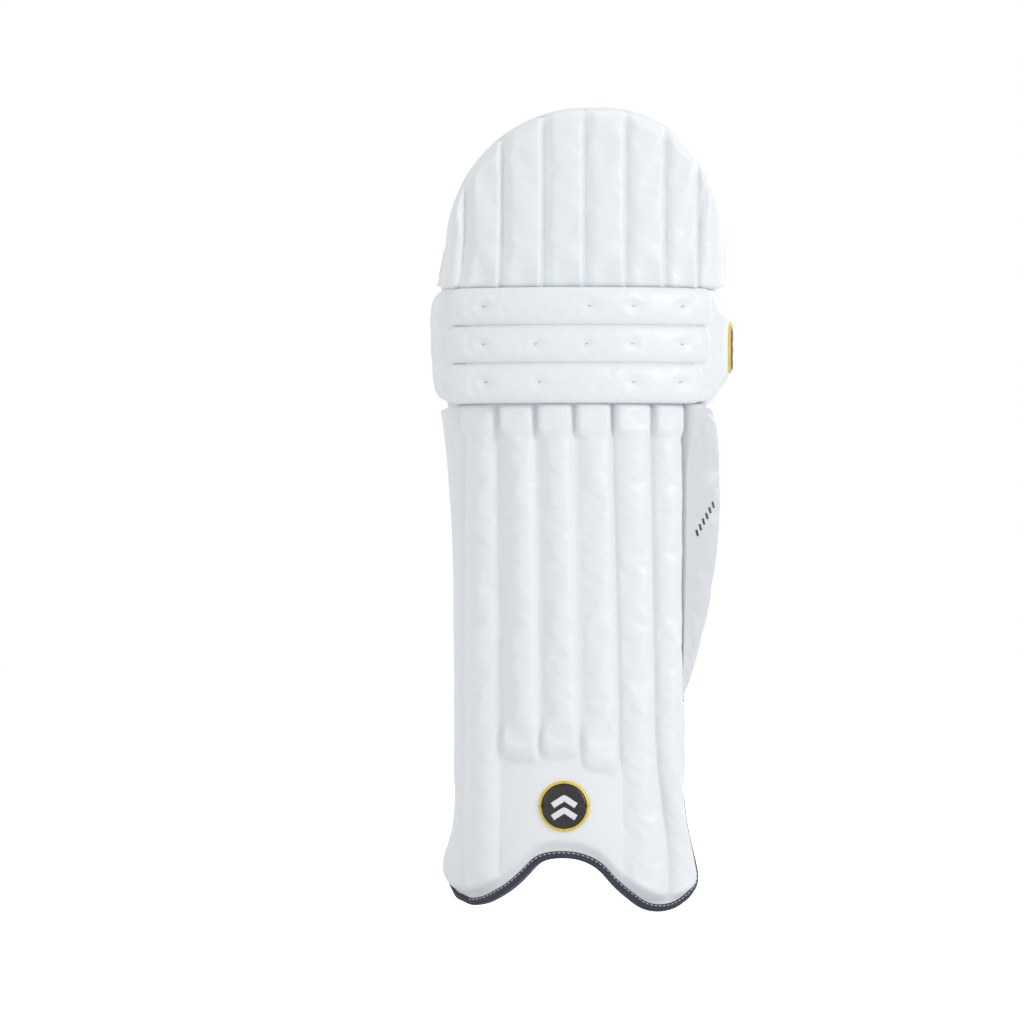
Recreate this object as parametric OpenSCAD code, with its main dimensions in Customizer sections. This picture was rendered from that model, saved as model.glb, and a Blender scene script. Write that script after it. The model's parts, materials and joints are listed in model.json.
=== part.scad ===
// Cricket leg pad for a batter's left leg.
//
// The face looks towards -Y, the outer side of the leg is +X, and the leg's
// axis is Z. A padded shin section carries a knee section on a fold, and the
// knee section carries a thigh flap on a second fold. A wing flexes on the
// outer edge of the calf, and three straps sewn to the inner edge close on
// hook-and-loop patches at the outer edge.

/* [Heights] */
// Ground to the fold below the knee
shin_h = 467; // [460:1:480]
// Height of the knee section
knee_h = 104; // [102:1:108]
// Height of the thigh flap above the upper fold
thigh_h = 166; // [160:1:190]
// Height of the plain instep panel below the middle canes
instep_h = 133; // [125:1:140]

/* [Padding] */
// Width of the thigh flap
thigh_w = 258; // [250:1:264]
// Depth of a shin cane, front to back
cane_depth = 26; // [22:1:28]
// Depth of a thigh section, front to back
thigh_depth = 22; // [18:1:24]
// Thickness of the stiff backing behind the canes and rolls
core_t = 7.6; // [5:0.2:7.6]
// Thickness of the soft bolsters behind the backing
bolster_t = 25; // [18:1:26]
// Thickness of the thigh lining
lining_t = 10; // [6:1:12]
// Diameter of the rods inside the shin canes
rod_d = 8; // [5:0.5:10]

/* [Straps] */
// Width of the strap behind the knee
knee_strap_w = 30; // [26:1:34]
// Width of the strap round the calf
calf_strap_w = 62; // [54:1:66]
// Width of the strap above the ankle
ankle_strap_w = 71; // [60:1:74]
// Thickness of a padded strap
strap_t = 5; // [3:0.5:6]

/* [Motion] */
// Clear gap left at each fold, for the cloth that joins the sections
fold_gap = 1.5; // [1:0.1:2]
// Slope cut on each side of a fold, half of its travel and a little more
fold_relief = 13.5; // [13:0.5:15]

/* [Hidden] */
$fn = 96;
big_fn = 360;
seam = 0.3;
skin = 0.2;

// Section heights
knee_z0 = shin_h + fold_gap;
knee_z1 = knee_z0 + knee_h;
thigh_z0 = knee_z1 + fold_gap;
pad_top = thigh_z0 + thigh_h;
fold_y = -45;
knee_fold_z = shin_h + fold_gap / 2;
thigh_fold_z = knee_z1 + fold_gap / 2;

// Shin layers are rings round the leg: face of the canes, back of the canes
shin_cy = 60;
cane_face_r = 155;
cane_back_r = cane_face_r - cane_depth;
shin_core_r0 = cane_back_r - skin - core_t;
bolster_r1 = shin_core_r0 - skin;
bolster_r0 = bolster_r1 - bolster_t;
panel_recess = 7;
shin_edge_in = -97.5;
shin_edge_out = 89.5;
panel_x0 = -33;
panel_x1 = 25;
cane_seams = [-46, -30, -15.5, -1.5, 12.5, 25.5, 36.5];
side_cane_r = 11;
side_cane_at = [-110.2, -28.7];
lining_z1 = 111;
instep_t = 18;
foot_flare_a = 49;

// Knee layers
knee_cy = 90;
roll_r = knee_h / 6 - seam / 2;
roll_path_r = 178;
roll_ends = [-35.2, 32.5];
knee_core_r1 = roll_path_r - roll_r - skin;
knee_core_r0 = knee_core_r1 - core_t;
knee_pad_r1 = knee_core_r0 - skin;
knee_pad_r0 = knee_pad_r1 - bolster_t - 3;
knee_side_x = 132;
knee_split_z0 = knee_z0 + 47.5;
knee_split_z1 = knee_z0 + 51.5;

// Thigh layers
thigh_cy = 170;
thigh_face_r = 260;
thigh_back_r = thigh_face_r - thigh_depth;
thigh_core_r0 = thigh_back_r - skin - core_t;
thigh_seams = [-33.5, -25, -17, -8.5, 0, 8.5, 17, 24.5, 31.5];
dome_x = 2;
dome_r = thigh_w / 2;
dome_z = pad_top - dome_r - 2;
shoulder_x = 19;
shoulder_r = dome_r - 23;
base_flare = 8;

// Straps are flat arcs behind the leg, sewn at root_x and closed at the outer edge
strap_cy = -269.9;
strap_r0 = 317;
strap_r1 = strap_r0 + strap_t;
band_r1 = strap_r1 + skin + 1.8;
rear_r = strap_r0 - 3.4;
root_x = -116;

// The calf wing flexes about this line, and its rear face and patch are round about it
wing_hinge = [91.5, -62];
wing_rear_r = 89.6;
patch_t = 1.2;
patch_x0 = 94;
wing_z0 = 189;
knee_strap_z = 508;
knee_strap_slant = 4.6;
calf_strap_z = 368;
ankle_strap_z = 159.5;
ankle_patch_z = 154;

// ---------- plan shapes, seen from above ----------

// Ring about the upright axis at (0, cy)
module ring_plan(cy, r0, r1) {
    translate([0, cy]) difference() {
        circle(r1);
        circle(r0);
    }
}

// Wedge from a0 to a1 degrees, counted from the -Y direction towards +X
module wedge_plan(cy, a0, a1) {
    reach = 400;
    translate([0, cy])
        polygon([[0, 0], reach * [sin(a0), -cos(a0)], reach * [sin(a1), -cos(a1)]]);
}

// Inside of the surface that the straps lie on
module rear_limit_plan() {
    translate([0, strap_cy]) circle(rear_r, $fn = big_fn);
}

// Part of a ring between two X values, cut off at the rear
module ring_slice_plan(cy, r0, r1, x0, x1) {
    intersection() {
        ring_plan(cy, r0, r1);
        translate([x0, -200]) square([x1 - x0, 200 + 30]);
        rear_limit_plan();
    }
}

// One stuffed upright section: flat back, sides in the seams, a crowned face
module section_plan(cy, r_back, r_face, a0, a1, crown) {
    mid = (a0 + a1) / 2;
    crown_r = 2 * r_face * sin((a1 - a0) / 2) * crown;
    slack = asin(seam / 2 / r_face);
    intersection() {
        ring_plan(cy, r_back, r_face + 1);
        wedge_plan(cy, a0 + slack, a1 - slack);
        translate([0, cy] + (r_face - crown_r) * [sin(mid), -cos(mid)]) circle(crown_r);
    }
}

// Strap seen from above, its ends rounded
module strap_plan(r0, r1, x0, x1) {
    mid = (r0 + r1) / 2;
    translate([0, strap_cy]) {
        intersection() {
            difference() {
                circle(r1, $fn = big_fn);
                circle(r0, $fn = big_fn);
            }
            translate([x0, 0]) square([x1 - x0, r1 + 10]);
        }
        for (x = [x0, x1])
            translate([x, sqrt(mid * mid - x * x)]) circle((r1 - r0) / 2 - 0.02);
    }
}

// ---------- front shapes, extruded along Y ----------

module through_y() {
    translate([0, 200, 0]) rotate([90, 0, 0]) linear_extrude(400) children();
}

module rounded_front(x0, x1, z0, z1, r) {
    for (x = [x0 + r, x1 - r], z = [z0 + r, z1 - r]) translate([x, z]) circle(r);
    translate([x0 + r, z0]) square([x1 - x0 - 2 * r, z1 - z0]);
    translate([x0, z0 + r]) square([x1 - x0, z1 - z0 - 2 * r]);
}

// Outline of the shin section from the front: two feet and an arch between them
module foot_front(grow = 0) {
    arch_r = 66;
    inner_foot_r = 26;
    outer_foot_r = 34;
    difference() {
        union() {
            translate([-99, 29]) circle(inner_foot_r + grow);
            translate([71, 37]) circle(outer_foot_r + grow);
            polygon([[-125 - grow, 29], [105 + grow, 37], [95 + grow, 112],
                     [95 + grow, shin_h + 10], [-122 - grow, shin_h + 10],
                     [-122 - grow, 120]]);
            translate([-99, 14]) square([160, 30]);
        }
        translate([-19, -16]) circle(arch_r - grow);
    }
}

// Outline of the thigh flap from the front: a dome with a fuller outer shoulder,
// on a base that spreads a little at the inner side
module dome_front(grow = 0) {
    translate([dome_x, dome_z]) circle(dome_r + grow);
    translate([shoulder_x, pad_top - 2 - shoulder_r]) circle(shoulder_r + grow);
    polygon([[dome_x + dome_r + grow, thigh_z0], [dome_x + dome_r + grow, dome_z],
             [dome_x - dome_r - grow, dome_z + 12 + grow],
             [dome_x - dome_r - base_flare - grow, thigh_z0]]);
}

// Material removed above a fold, behind its axis
module relief_above(fold_z) {
    translate([0, fold_y, fold_z]) rotate([fold_relief, 0, 0])
        translate([-200, 0, -60]) cube([400, 160, 60]);
}

// Material removed below a fold, behind its axis
module relief_below(fold_z) {
    translate([0, fold_y, fold_z]) rotate([-fold_relief, 0, 0])
        translate([-200, 0, 0]) cube([400, 160, 60]);
}

// ---------- thigh flap ----------

module thigh_section(i) {
    color("whitesmoke") difference() {
        intersection() {
            translate([0, 0, thigh_z0]) linear_extrude(thigh_h)
                section_plan(thigh_cy, thigh_back_r, thigh_face_r,
                             thigh_seams[i - 1], thigh_seams[i], 0.8);
            through_y() dome_front();
        }
        relief_above(thigh_fold_z);
    }
}

module thigh_layer(r0, r1) {
    difference() {
        intersection() {
            translate([0, 0, thigh_z0]) linear_extrude(thigh_h) ring_plan(thigh_cy, r0, r1);
            through_y() dome_front();
            translate([-200, -200, 0]) cube([400, 220, 800]);
        }
        relief_above(thigh_fold_z);
    }
}

module thigh_core() {
    color("gainsboro") thigh_layer(thigh_core_r0, thigh_back_r - skin);
}

module thigh_lining() {
    color("slategray") thigh_layer(thigh_core_r0 - skin - lining_t, thigh_core_r0 - skin);
}

module thigh_edge_piping() {
    rim = 2;
    rim_gap = 0.15;
    color("white") intersection() {
        translate([0, 0, thigh_z0 + 20]) linear_extrude(thigh_h)
            ring_plan(thigh_cy, thigh_core_r0 - lining_t + 3, thigh_back_r + 6);
        through_y() difference() {
            dome_front(rim);
            dome_front(rim_gap);
        }
        translate([-200, -200, 0]) cube([400, 200, 800]);
    }
}

module thigh_rear_badge() {
    r1 = thigh_core_r0 - 2 * skin - lining_t;
    color("dimgray") intersection() {
        linear_extrude(pad_top) ring_plan(thigh_cy, r1 - 1.6, r1);
        through_y() rounded_front(-40, 34, thigh_z0 + 49, thigh_z0 + 135, 24);
        translate([-100, -100, 0]) cube([200, 100, 800]);
    }
}

// ---------- knee section ----------

module knee_roll(i) {
    end_ball = roll_r - 0.5;
    end_in = 3;
    color("white") translate([0, knee_cy, knee_z1 - (2 * i - 1) * knee_h / 6]) {
        rotate([0, 0, roll_ends[0] - 90])
            rotate_extrude(angle = roll_ends[1] - roll_ends[0])
                translate([roll_path_r, 0]) circle(roll_r);
        for (k = [0, 1]) {
            a = roll_ends[k] + (k == 0 ? 1 : -1) * end_in * 360 / (2 * PI * roll_path_r);
            translate(roll_path_r * [sin(a), -cos(a), 0]) sphere(end_ball);
        }
    }
}

// A layer of the knee section between two X and two Z values
module knee_layer(r0, r1, x0, x1, z0, z1) {
    difference() {
        translate([0, 0, z0]) linear_extrude(z1 - z0)
            ring_slice_plan(knee_cy, r0, r1, x0, x1);
        relief_above(knee_fold_z);
        relief_below(thigh_fold_z);
    }
}

module knee_core() {
    color("gainsboro") knee_layer(knee_core_r0, knee_core_r1, -113, 113, knee_z0, knee_z1);
}

module knee_wing_outer() {
    color("white") intersection() {
        knee_layer(knee_core_r1 - 7, knee_core_r1 + 12, 113.6, 150, knee_z0 - 1, knee_z1 + 1);
        through_y() rounded_front(60, 138, knee_z0, knee_z1, 22);
    }
}

module knee_wing_inner() {
    color("white") intersection() {
        knee_layer(knee_core_r1 - 7, knee_core_r1 + 12, -150, -121, knee_z0 - 1, knee_z1 + 1);
        through_y() rounded_front(-138, -60, knee_z0, knee_z1, 12);
    }
}

module knee_side_badge() {
    r0 = knee_core_r1 + 12 + skin;
    color("dimgray") intersection() {
        translate([0, 0, knee_z0]) linear_extrude(knee_h)
            ring_slice_plan(knee_cy, r0, r0 + 1.4, 124, 150);
        through_y() rounded_front(128, 137.5, knee_z0 + 28, knee_z0 + 74, 3);
    }
}

module knee_pad_centre_upper() {
    color("slategray")
        knee_layer(knee_pad_r0 + 5, knee_pad_r1, -38, 40, knee_split_z1, knee_z1);
}

module knee_pad_centre_lower() {
    color("slategray")
        knee_layer(knee_pad_r0 + 5, knee_pad_r1, -38, 34, knee_z0, knee_split_z0);
}

module knee_bolster(x0, x1, z0, z1) {
    color("white") knee_layer(knee_pad_r0, knee_pad_r1, x0, x1, z0, z1);
}

module knee_rear_badge() {
    r1 = knee_pad_r0 + 5 - skin;
    color("white") intersection() {
        linear_extrude(pad_top) ring_slice_plan(knee_cy, r1 - 1.6, r1, -60, 60);
        through_y() rounded_front(-27, 28, knee_split_z1 + 4, knee_split_z1 + 40, 12);
    }
}

module knee_loop_patch() {
    color("lightgray") knee_strap_frame()
        strap_band(strap_r0 - 2.6, strap_r0 - 1.8, 106, 126, 13, -13);
}

// ---------- shin section ----------

module shin_cane(i) {
    mid = i == 1 ? 0 : (cane_seams[i - 2] + cane_seams[i - 1]) / 2;
    short_cane = i >= 3 && i <= 5;
    color("white") difference() {
        if (i == 1) side_cane();
        else intersection() {
            union() {
                translate([0, 0, short_cane ? instep_h : 0])
                    linear_extrude(shin_h - (short_cane ? instep_h : 0))
                        section_plan(shin_cy, cane_back_r, cane_face_r,
                                     cane_seams[i - 2], cane_seams[i - 1], 0.58);
                if (i == 7) foot_flare();
            }
            translate([0, shin_cy, 0]) rotate([0, 0, mid]) through_y()
                rounded_front(-40, 40, short_cane ? instep_h : -60, shin_h, 24);
            through_y() foot_front();
        }
        rod_place(i) translate([0, 0, -0.5]) cylinder(d = rod_d + 0.1, h = rod_len(i) + 1);
        relief_below(knee_fold_z);
    }
}

// The cane that turns round the inner edge of the pad
module side_cane() {
    intersection() {
        translate(side_cane_at) cylinder(r = side_cane_r, h = shin_h - 4);
        through_y() foot_front();
    }
}

// The face flares outwards over the outer foot
module foot_flare() {
    linear_extrude(112) intersection() {
        ring_plan(shin_cy, cane_back_r, cane_back_r + instep_t);
        wedge_plan(shin_cy, cane_seams[6] - 1, foot_flare_a);
    }
}

function rod_low(i) = instep_h + (i >= 3 && i <= 5 ? 30 : -10);
function rod_len(i) = shin_h - 40 - rod_low(i);

// Children are placed on the axis of rod i, at its lower end
module rod_place(i) {
    at = i == 1 ? side_cane_at + [2, 3]
       : [0, shin_cy] + (cane_back_r + cane_depth / 2)
         * [sin((cane_seams[i - 2] + cane_seams[i - 1]) / 2),
            -cos((cane_seams[i - 2] + cane_seams[i - 1]) / 2)];
    translate([at[0], at[1], rod_low(i)]) children();
}

module cane_rods() {
    color("burlywood") for (i = [1:7]) rod_place(i) cylinder(d = rod_d, h = rod_len(i));
}

module shin_core() {
    color("gainsboro") difference() {
        intersection() {
            linear_extrude(shin_h) intersection() {
                ring_plan(shin_cy, shin_core_r0, cane_back_r - skin);
                wedge_plan(shin_cy, -52, 43);
            }
            through_y() foot_front();
        }
        relief_below(knee_fold_z);
    }
}

// A layer behind the shin backing, from the instep lining up to the fold
module shin_layer(r0, x0, x1) {
    difference() {
        translate([0, 0, lining_z1 + 1]) linear_extrude(shin_h - lining_z1 - 1)
            ring_slice_plan(shin_cy, r0, bolster_r1, x0, x1);
        relief_below(knee_fold_z);
    }
}

module shin_centre_panel() {
    color("slategray") shin_layer(bolster_r0 + panel_recess, panel_x0, panel_x1);
}

module shin_bolster_outer() {
    color("lightgray") shin_layer(bolster_r0, panel_x1 + seam, shin_edge_out);
}

module shin_bolster_inner() {
    color("lightgray") shin_layer(bolster_r0, shin_edge_in, panel_x0 - seam);
}

// Upright wall that stands back from the edge of the pad to the straps
module side_wall(x0, x1, y0, z0, z1) {
    color("white") difference() {
        translate([0, 0, z0]) linear_extrude(z1 - z0) intersection() {
            translate([x0, y0]) square([x1 - x0, 80]);
            rear_limit_plan();
        }
        relief_below(knee_fold_z);
    }
}

module side_wall_inner() {
    side_wall(-121, shin_edge_in - 0.5, -14, lining_z1 + 1, shin_h);
}

module side_wall_outer() {
    side_wall(shin_edge_out + 0.5, 98, -20, lining_z1 + 1, 186);
}

module instep_panel() {
    color("white") intersection() {
        linear_extrude(instep_h - seam) intersection() {
            ring_plan(shin_cy, cane_back_r, cane_back_r + instep_t);
            wedge_plan(shin_cy, cane_seams[1] + 0.1, cane_seams[4] - 0.1);
        }
        through_y() foot_front();
    }
}

module instep_lining() {
    color("white") intersection() {
        linear_extrude(lining_z1) intersection() {
            ring_plan(shin_cy, bolster_r1 - 10, bolster_r1);
            wedge_plan(shin_cy, -50, 44);
        }
        through_y() foot_front();
    }
}

module foot_binding() {
    tape_t = 3;
    tape_gap = 0.1;
    top_z = 98;
    color("midnightblue") intersection() {
        linear_extrude(top_z) intersection() {
            ring_plan(shin_cy, bolster_r1 - 11, cane_back_r + instep_t + 1);
            wedge_plan(shin_cy, -foot_flare_a, foot_flare_a);
        }
        through_y() difference() {
            foot_front(tape_t);
            foot_front(tape_gap);
        }
    }
}

module front_badge() {
    r0 = cane_back_r + instep_t + skin;
    color("dimgray") intersection() {
        translate([0, 0, 60]) linear_extrude(70) ring_slice_plan(shin_cy, r0, r0 + 1.6, -60, 30);
        through_y() translate([-18, 98]) circle(23);
    }
}

module ankle_loop_patch() {
    color("lightgray") translate([0, 0, ankle_patch_z])
        strap_band(strap_r0 - 3.2, strap_r0 - 1.8, 87, 97, 30, -28);
}

// ---------- calf wing ----------

module calf_wing() {
    side_r = 69;
    taper_r = 561;
    color("ghostwhite") difference() {
        intersection() {
            translate([0, 0, wing_z0]) linear_extrude(shin_h - wing_z0) intersection() {
                translate([57, -3]) circle(side_r);
                translate([91, -80]) square([60, 160]);
                translate(wing_hinge) circle(wing_rear_r);
            }
            through_y() translate([126 - taper_r, 388]) circle(taper_r, $fn = 2 * big_fn);
        }
        relief_below(knee_fold_z);
    }
}

// Rear part of a ring about the wing's hinge, between two X values
module hinge_ring_plan(r0, r1, x0, x1) {
    intersection() {
        translate(wing_hinge) difference() {
            circle(r1, $fn = big_fn);
            circle(r0, $fn = big_fn);
        }
        translate([x0, 0]) square([x1 - x0, 60]);
    }
}

module calf_loop_patch() {
    half_h = 24;
    color("lightgray") translate([0, 0, calf_strap_z - half_h]) linear_extrude(2 * half_h)
        hinge_ring_plan(wing_rear_r + skin, wing_rear_r + skin + patch_t, patch_x0, 112);
}

// ---------- straps ----------

// Tilts the knee strap about the leg's axis and lifts it to its height
module knee_strap_frame() {
    translate([0, 0, knee_strap_z]) rotate([0, -knee_strap_slant, 0]) children();
}

// A strap layer from its lower to its upper edge
module strap_band(r0, r1, x0, x1, z_up, z_low) {
    translate([0, 0, z_low]) linear_extrude(z_up - z_low) strap_plan(r0, r1, x0, x1);
}

module knee_strap() {
    color("white") knee_strap_frame()
        strap_band(strap_r0, strap_r1, root_x, 125, knee_strap_w / 2, -knee_strap_w / 2);
}

module knee_strap_band() {
    color("midnightblue") knee_strap_frame()
        strap_band(strap_r1 + skin, band_r1, root_x + 6, 122, 6, -7);
}

module knee_strap_hook_patch() {
    color("dimgray") knee_strap_frame()
        strap_band(strap_r0 - 1.6, strap_r0 - skin, 106, 124, 12, -12);
}

module calf_strap() {
    color("white") translate([0, 0, calf_strap_z])
        strap_band(strap_r0, strap_r1, root_x, 108, calf_strap_w / 2, -calf_strap_w / 2);
}

module calf_strap_band() {
    color("midnightblue") translate([0, 0, calf_strap_z])
        strap_band(strap_r1 + skin, band_r1, root_x + 6, -12, 15, -18);
}

module calf_strap_tab() {
    tab = [[110, 1], [84, 22], [25, 22], [19, 15], [-8, 15], [2, -26], [84, -24]];
    color("navy") intersection() {
        translate([0, 0, calf_strap_z])
            strap_band(strap_r1 + skin, band_r1 + 0.4, -20, 115, 30, -30);
        through_y() translate([0, calf_strap_z]) polygon(tab);
    }
}

// Fills the space between the strap and the round face of the loop patch
module calf_strap_hook_patch() {
    half_h = 23;
    color("dimgray") translate([0, 0, calf_strap_z - half_h]) linear_extrude(2 * half_h)
        intersection() {
            hinge_ring_plan(wing_rear_r + 2 * skin + patch_t, wing_rear_r + 10, patch_x0, 107);
            translate([0, strap_cy]) circle(strap_r0 - skin, $fn = big_fn);
        }
}

module ankle_strap() {
    color("white") translate([0, 0, ankle_strap_z])
        strap_band(strap_r0, strap_r1, root_x, 96, ankle_strap_w / 2, -ankle_strap_w / 2);
}

module ankle_strap_band() {
    color("midnightblue") translate([0, 0, ankle_strap_z])
        strap_band(strap_r1 + skin, band_r1, root_x + 6, 94, 12, -22);
}

module ankle_strap_hook_patch() {
    color("dimgray") translate([0, 0, ankle_patch_z])
        strap_band(strap_r0 - 1.6, strap_r0 - skin, 87, 96, 29, -27);
}

for (i = [1:8]) thigh_section(i);
thigh_core();
thigh_lining();
thigh_edge_piping();
thigh_rear_badge();
for (i = [1:3]) knee_roll(i);
knee_core();
knee_wing_outer();
knee_wing_inner();
knee_side_badge();
knee_pad_centre_upper();
knee_pad_centre_lower();
knee_bolster(40 + seam, knee_side_x, knee_split_z1, knee_z1);  // knee_bolster_upper_outer
knee_bolster(-knee_side_x, -38 - seam, knee_split_z1, knee_z1);  // knee_bolster_upper_inner
knee_bolster(34 + seam, knee_side_x, knee_z0, knee_split_z0);  // knee_bolster_lower_outer
knee_bolster(-knee_side_x, -38 - seam, knee_z0, knee_split_z0);  // knee_bolster_lower_inner
knee_rear_badge();
knee_loop_patch();
for (i = [1:7]) shin_cane(i);
cane_rods();
shin_core();
shin_centre_panel();
shin_bolster_outer();
shin_bolster_inner();
side_wall_inner();
side_wall_outer();
instep_panel();
instep_lining();
foot_binding();
front_badge();
ankle_loop_patch();
calf_wing();
calf_loop_patch();
knee_strap();
knee_strap_band();
knee_strap_hook_patch();
calf_strap();
calf_strap_band();
calf_strap_tab();
calf_strap_hook_patch();
ankle_strap();
ankle_strap_band();
ankle_strap_hook_patch();
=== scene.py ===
"""Cricket leg pad: stuffed face, rolls, canes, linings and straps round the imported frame."""
import json
import math

import bmesh
import bpy
import numpy as np
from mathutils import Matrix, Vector
from mathutils.bvhtree import BVHTree


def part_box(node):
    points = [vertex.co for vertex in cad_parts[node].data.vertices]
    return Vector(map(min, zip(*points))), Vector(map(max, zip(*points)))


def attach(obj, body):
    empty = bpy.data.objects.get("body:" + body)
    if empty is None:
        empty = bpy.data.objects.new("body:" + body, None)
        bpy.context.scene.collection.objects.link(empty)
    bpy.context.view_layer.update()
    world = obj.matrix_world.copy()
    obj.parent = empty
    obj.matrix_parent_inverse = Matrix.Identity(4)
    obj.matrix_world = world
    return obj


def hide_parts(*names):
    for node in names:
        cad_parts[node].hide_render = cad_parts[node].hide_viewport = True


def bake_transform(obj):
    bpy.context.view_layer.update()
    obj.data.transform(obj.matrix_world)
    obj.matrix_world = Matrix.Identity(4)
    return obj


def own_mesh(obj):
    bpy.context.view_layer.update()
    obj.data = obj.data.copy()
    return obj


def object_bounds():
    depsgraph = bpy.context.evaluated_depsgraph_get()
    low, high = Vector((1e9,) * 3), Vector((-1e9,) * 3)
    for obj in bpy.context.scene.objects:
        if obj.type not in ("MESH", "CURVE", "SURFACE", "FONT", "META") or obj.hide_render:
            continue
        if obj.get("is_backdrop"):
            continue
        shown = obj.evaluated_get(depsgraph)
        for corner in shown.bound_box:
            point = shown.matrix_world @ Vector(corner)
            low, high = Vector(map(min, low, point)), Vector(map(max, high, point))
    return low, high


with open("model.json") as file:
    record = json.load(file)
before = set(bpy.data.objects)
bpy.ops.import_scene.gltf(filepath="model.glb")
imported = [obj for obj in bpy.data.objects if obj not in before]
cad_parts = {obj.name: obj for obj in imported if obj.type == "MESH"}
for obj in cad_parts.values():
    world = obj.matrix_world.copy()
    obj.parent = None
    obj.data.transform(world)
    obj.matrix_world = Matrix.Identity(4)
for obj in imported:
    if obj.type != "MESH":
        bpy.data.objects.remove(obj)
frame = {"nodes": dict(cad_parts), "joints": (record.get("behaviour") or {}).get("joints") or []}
CAD_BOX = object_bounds()

# ---------------------------------------------------------------- frame sizes, in millimetres


def node_box(name):
    """Lowest and highest corner of a CAD node, in millimetres."""
    low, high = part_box(name)
    return np.array(low) * 1000, np.array(high) * 1000


def joint_at(name):
    """A joint's point at rest, in millimetres."""
    row = [j for j in frame["joints"] if j["name"] == name][0]
    return np.array(row["pos_m"]) * 1000


KNEE_FOLD = joint_at("knee_fold")
THIGH_FOLD = joint_at("thigh_fold")
STRAP_ROOT = joint_at("calf_strap_swing")
SHIN_TOP = node_box("shin_cane_4")[1][2]
SHIN_FACE_Y = node_box("shin_cane_4")[0][1]
KNEE_LOW, KNEE_HIGH = node_box("knee_core")[0][2], node_box("knee_core")[1][2]
THIGH_LOW, PAD_TOP = node_box("thigh_core")[0][2], node_box("thigh_edge_piping")[1][2]
ROLL_PITCH = (KNEE_HIGH - KNEE_LOW) / 3

# Upright axes that the sections curve about (their Y), and radii from them
SHIN_CY, KNEE_CY, THIGH_CY, STRAP_CY = 60.0, 90.0, 170.0, -269.9
CANE_HEIGHT = 9.5
SEAM_R = SHIN_CY - SHIN_FACE_Y - CANE_HEIGHT
THIGH_SEAM_R = 253.5
STRAP_R, STRAP_T = 317.0, 5.0

# Half the angle that the sections leave free behind a fold, and the slightly larger one
# that their sides are built to
FOLD_SLOPE = math.tan(math.radians(12.8))
SIDE_SLOPE = math.tan(math.radians(13.5))
FOLD_Y = KNEE_FOLD[1]

# Seam positions across the shin at the fold, below the calf and at the foot
SEAMS_TOP = [-109, -76, -43, -9, 25, 60, 89]
SEAMS_MID = [-110, -74, -39, -3, 32, 65, 89]
SEAMS_FOOT = [-111, -74, -39, -3, 33, 78, 100]
THIGH_SEAMS = [-109, -76, -38, 0, 38, 74, 105]
SHIN_MID_Z, SHIN_FOOT_Z = 190.0, 30.0

# ---------------------------------------------------------------- small maths


def ramp(x, a, b):
    """0 below a, 1 above b and straight between; b may be less than a."""
    return np.clip((np.asarray(x, float) - a) / (b - a), 0, 1)


def smooth(x, a, b):
    """As ramp, with an S curve between."""
    t = ramp(x, a, b)
    return t * t * (3 - 2 * t)


def lerp(a, b, t):
    return a + (b - a) * t


def unit(v):
    return v / np.maximum(np.linalg.norm(v, axis=-1, keepdims=True), 1e-9)


def crown(t, power, root):
    """Height across a stuffed channel: 0 at its seams, 1 in its middle."""
    x = np.clip(np.abs(2 * np.asarray(t, float) - 1), 0, 1)
    return (1 - x ** power) ** root


def quarter(x):
    """Rises from 0 to 1 as a quarter of a circle does; it stays at its ends outside 0 to 1."""
    x = np.clip(x, 0, 1)
    return np.sqrt(x * (2 - x))


def bump(x, at, width):
    """A bell curve of height 1."""
    return np.exp(-((np.asarray(x, float) - at) / width) ** 2)


def spread(n, ease):
    """n + 1 stations from 0 to 1, closer together near both ends."""
    t = np.linspace(0, 1, n + 1)
    return lerp(t, 0.5 - 0.5 * np.cos(math.pi * t), ease)


def stations(cols, ease_u, rows, ease_v):
    """Shares u across and v up a grid of points, closer together near its edges."""
    return spread(cols, ease_u)[None, :], spread(rows, ease_v)[:, None]


def ring(cy, r, a):
    """Points at radius r and angle a (radians, from -Y towards +X) about an upright axis."""
    return np.stack([r * np.sin(a), cy - r * np.cos(a)], -1)


def upright(cy, r, a, z):
    """Points at radius r, angle a and height z about an upright axis."""
    return np.concatenate([ring(cy, r, a), z[..., None]], -1)


def on_ring(cy, r, x, z):
    """Points with exact x and z at radius r in front of an upright axis."""
    return np.stack([x + 0 * z, cy - np.sqrt(r * r - x * x) + 0 * z, z + 0 * x], -1)


def ripple(x, y, scale, seed):
    """Soft, repeatable unevenness between -1 and 1, for cloth that is never quite even."""
    a = np.sin(x / scale + seed) * np.cos(y / scale * 0.8 - seed * 1.7)
    b = np.sin(x / scale * 2.3 - y / scale * 1.1 + seed * 2.1)
    return 0.65 * a + 0.35 * b


def spline(points, n):
    """Catmull-Rom curve through points, n samples between neighbours."""
    p = np.array(points, float)
    p = np.vstack([2 * p[0] - p[1], p, 2 * p[-1] - p[-2]])
    out = []
    for i in range(1, len(p) - 2):
        t = np.linspace(0, 1, n, endpoint=False)[:, None]
        a, b, c, d = p[i - 1], p[i], p[i + 1], p[i + 2]
        out.append(0.5 * (2 * b + (c - a) * t + (2 * a - 5 * b + 4 * c - d) * t ** 2
                          + (3 * b - a - 3 * c + d) * t ** 3))
    out.append(p[-2][None, :])
    return np.vstack(out)


def run_of(path):
    """How far along a path each of its points lies."""
    return np.concatenate([[0], np.cumsum(np.linalg.norm(np.diff(path, axis=0), axis=1))])


def resample(path, at):
    """Points of a path at these distances along it."""
    run = run_of(path)
    return np.stack([np.interp(at, run, path[:, k]) for k in range(path.shape[1])], -1)


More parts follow.
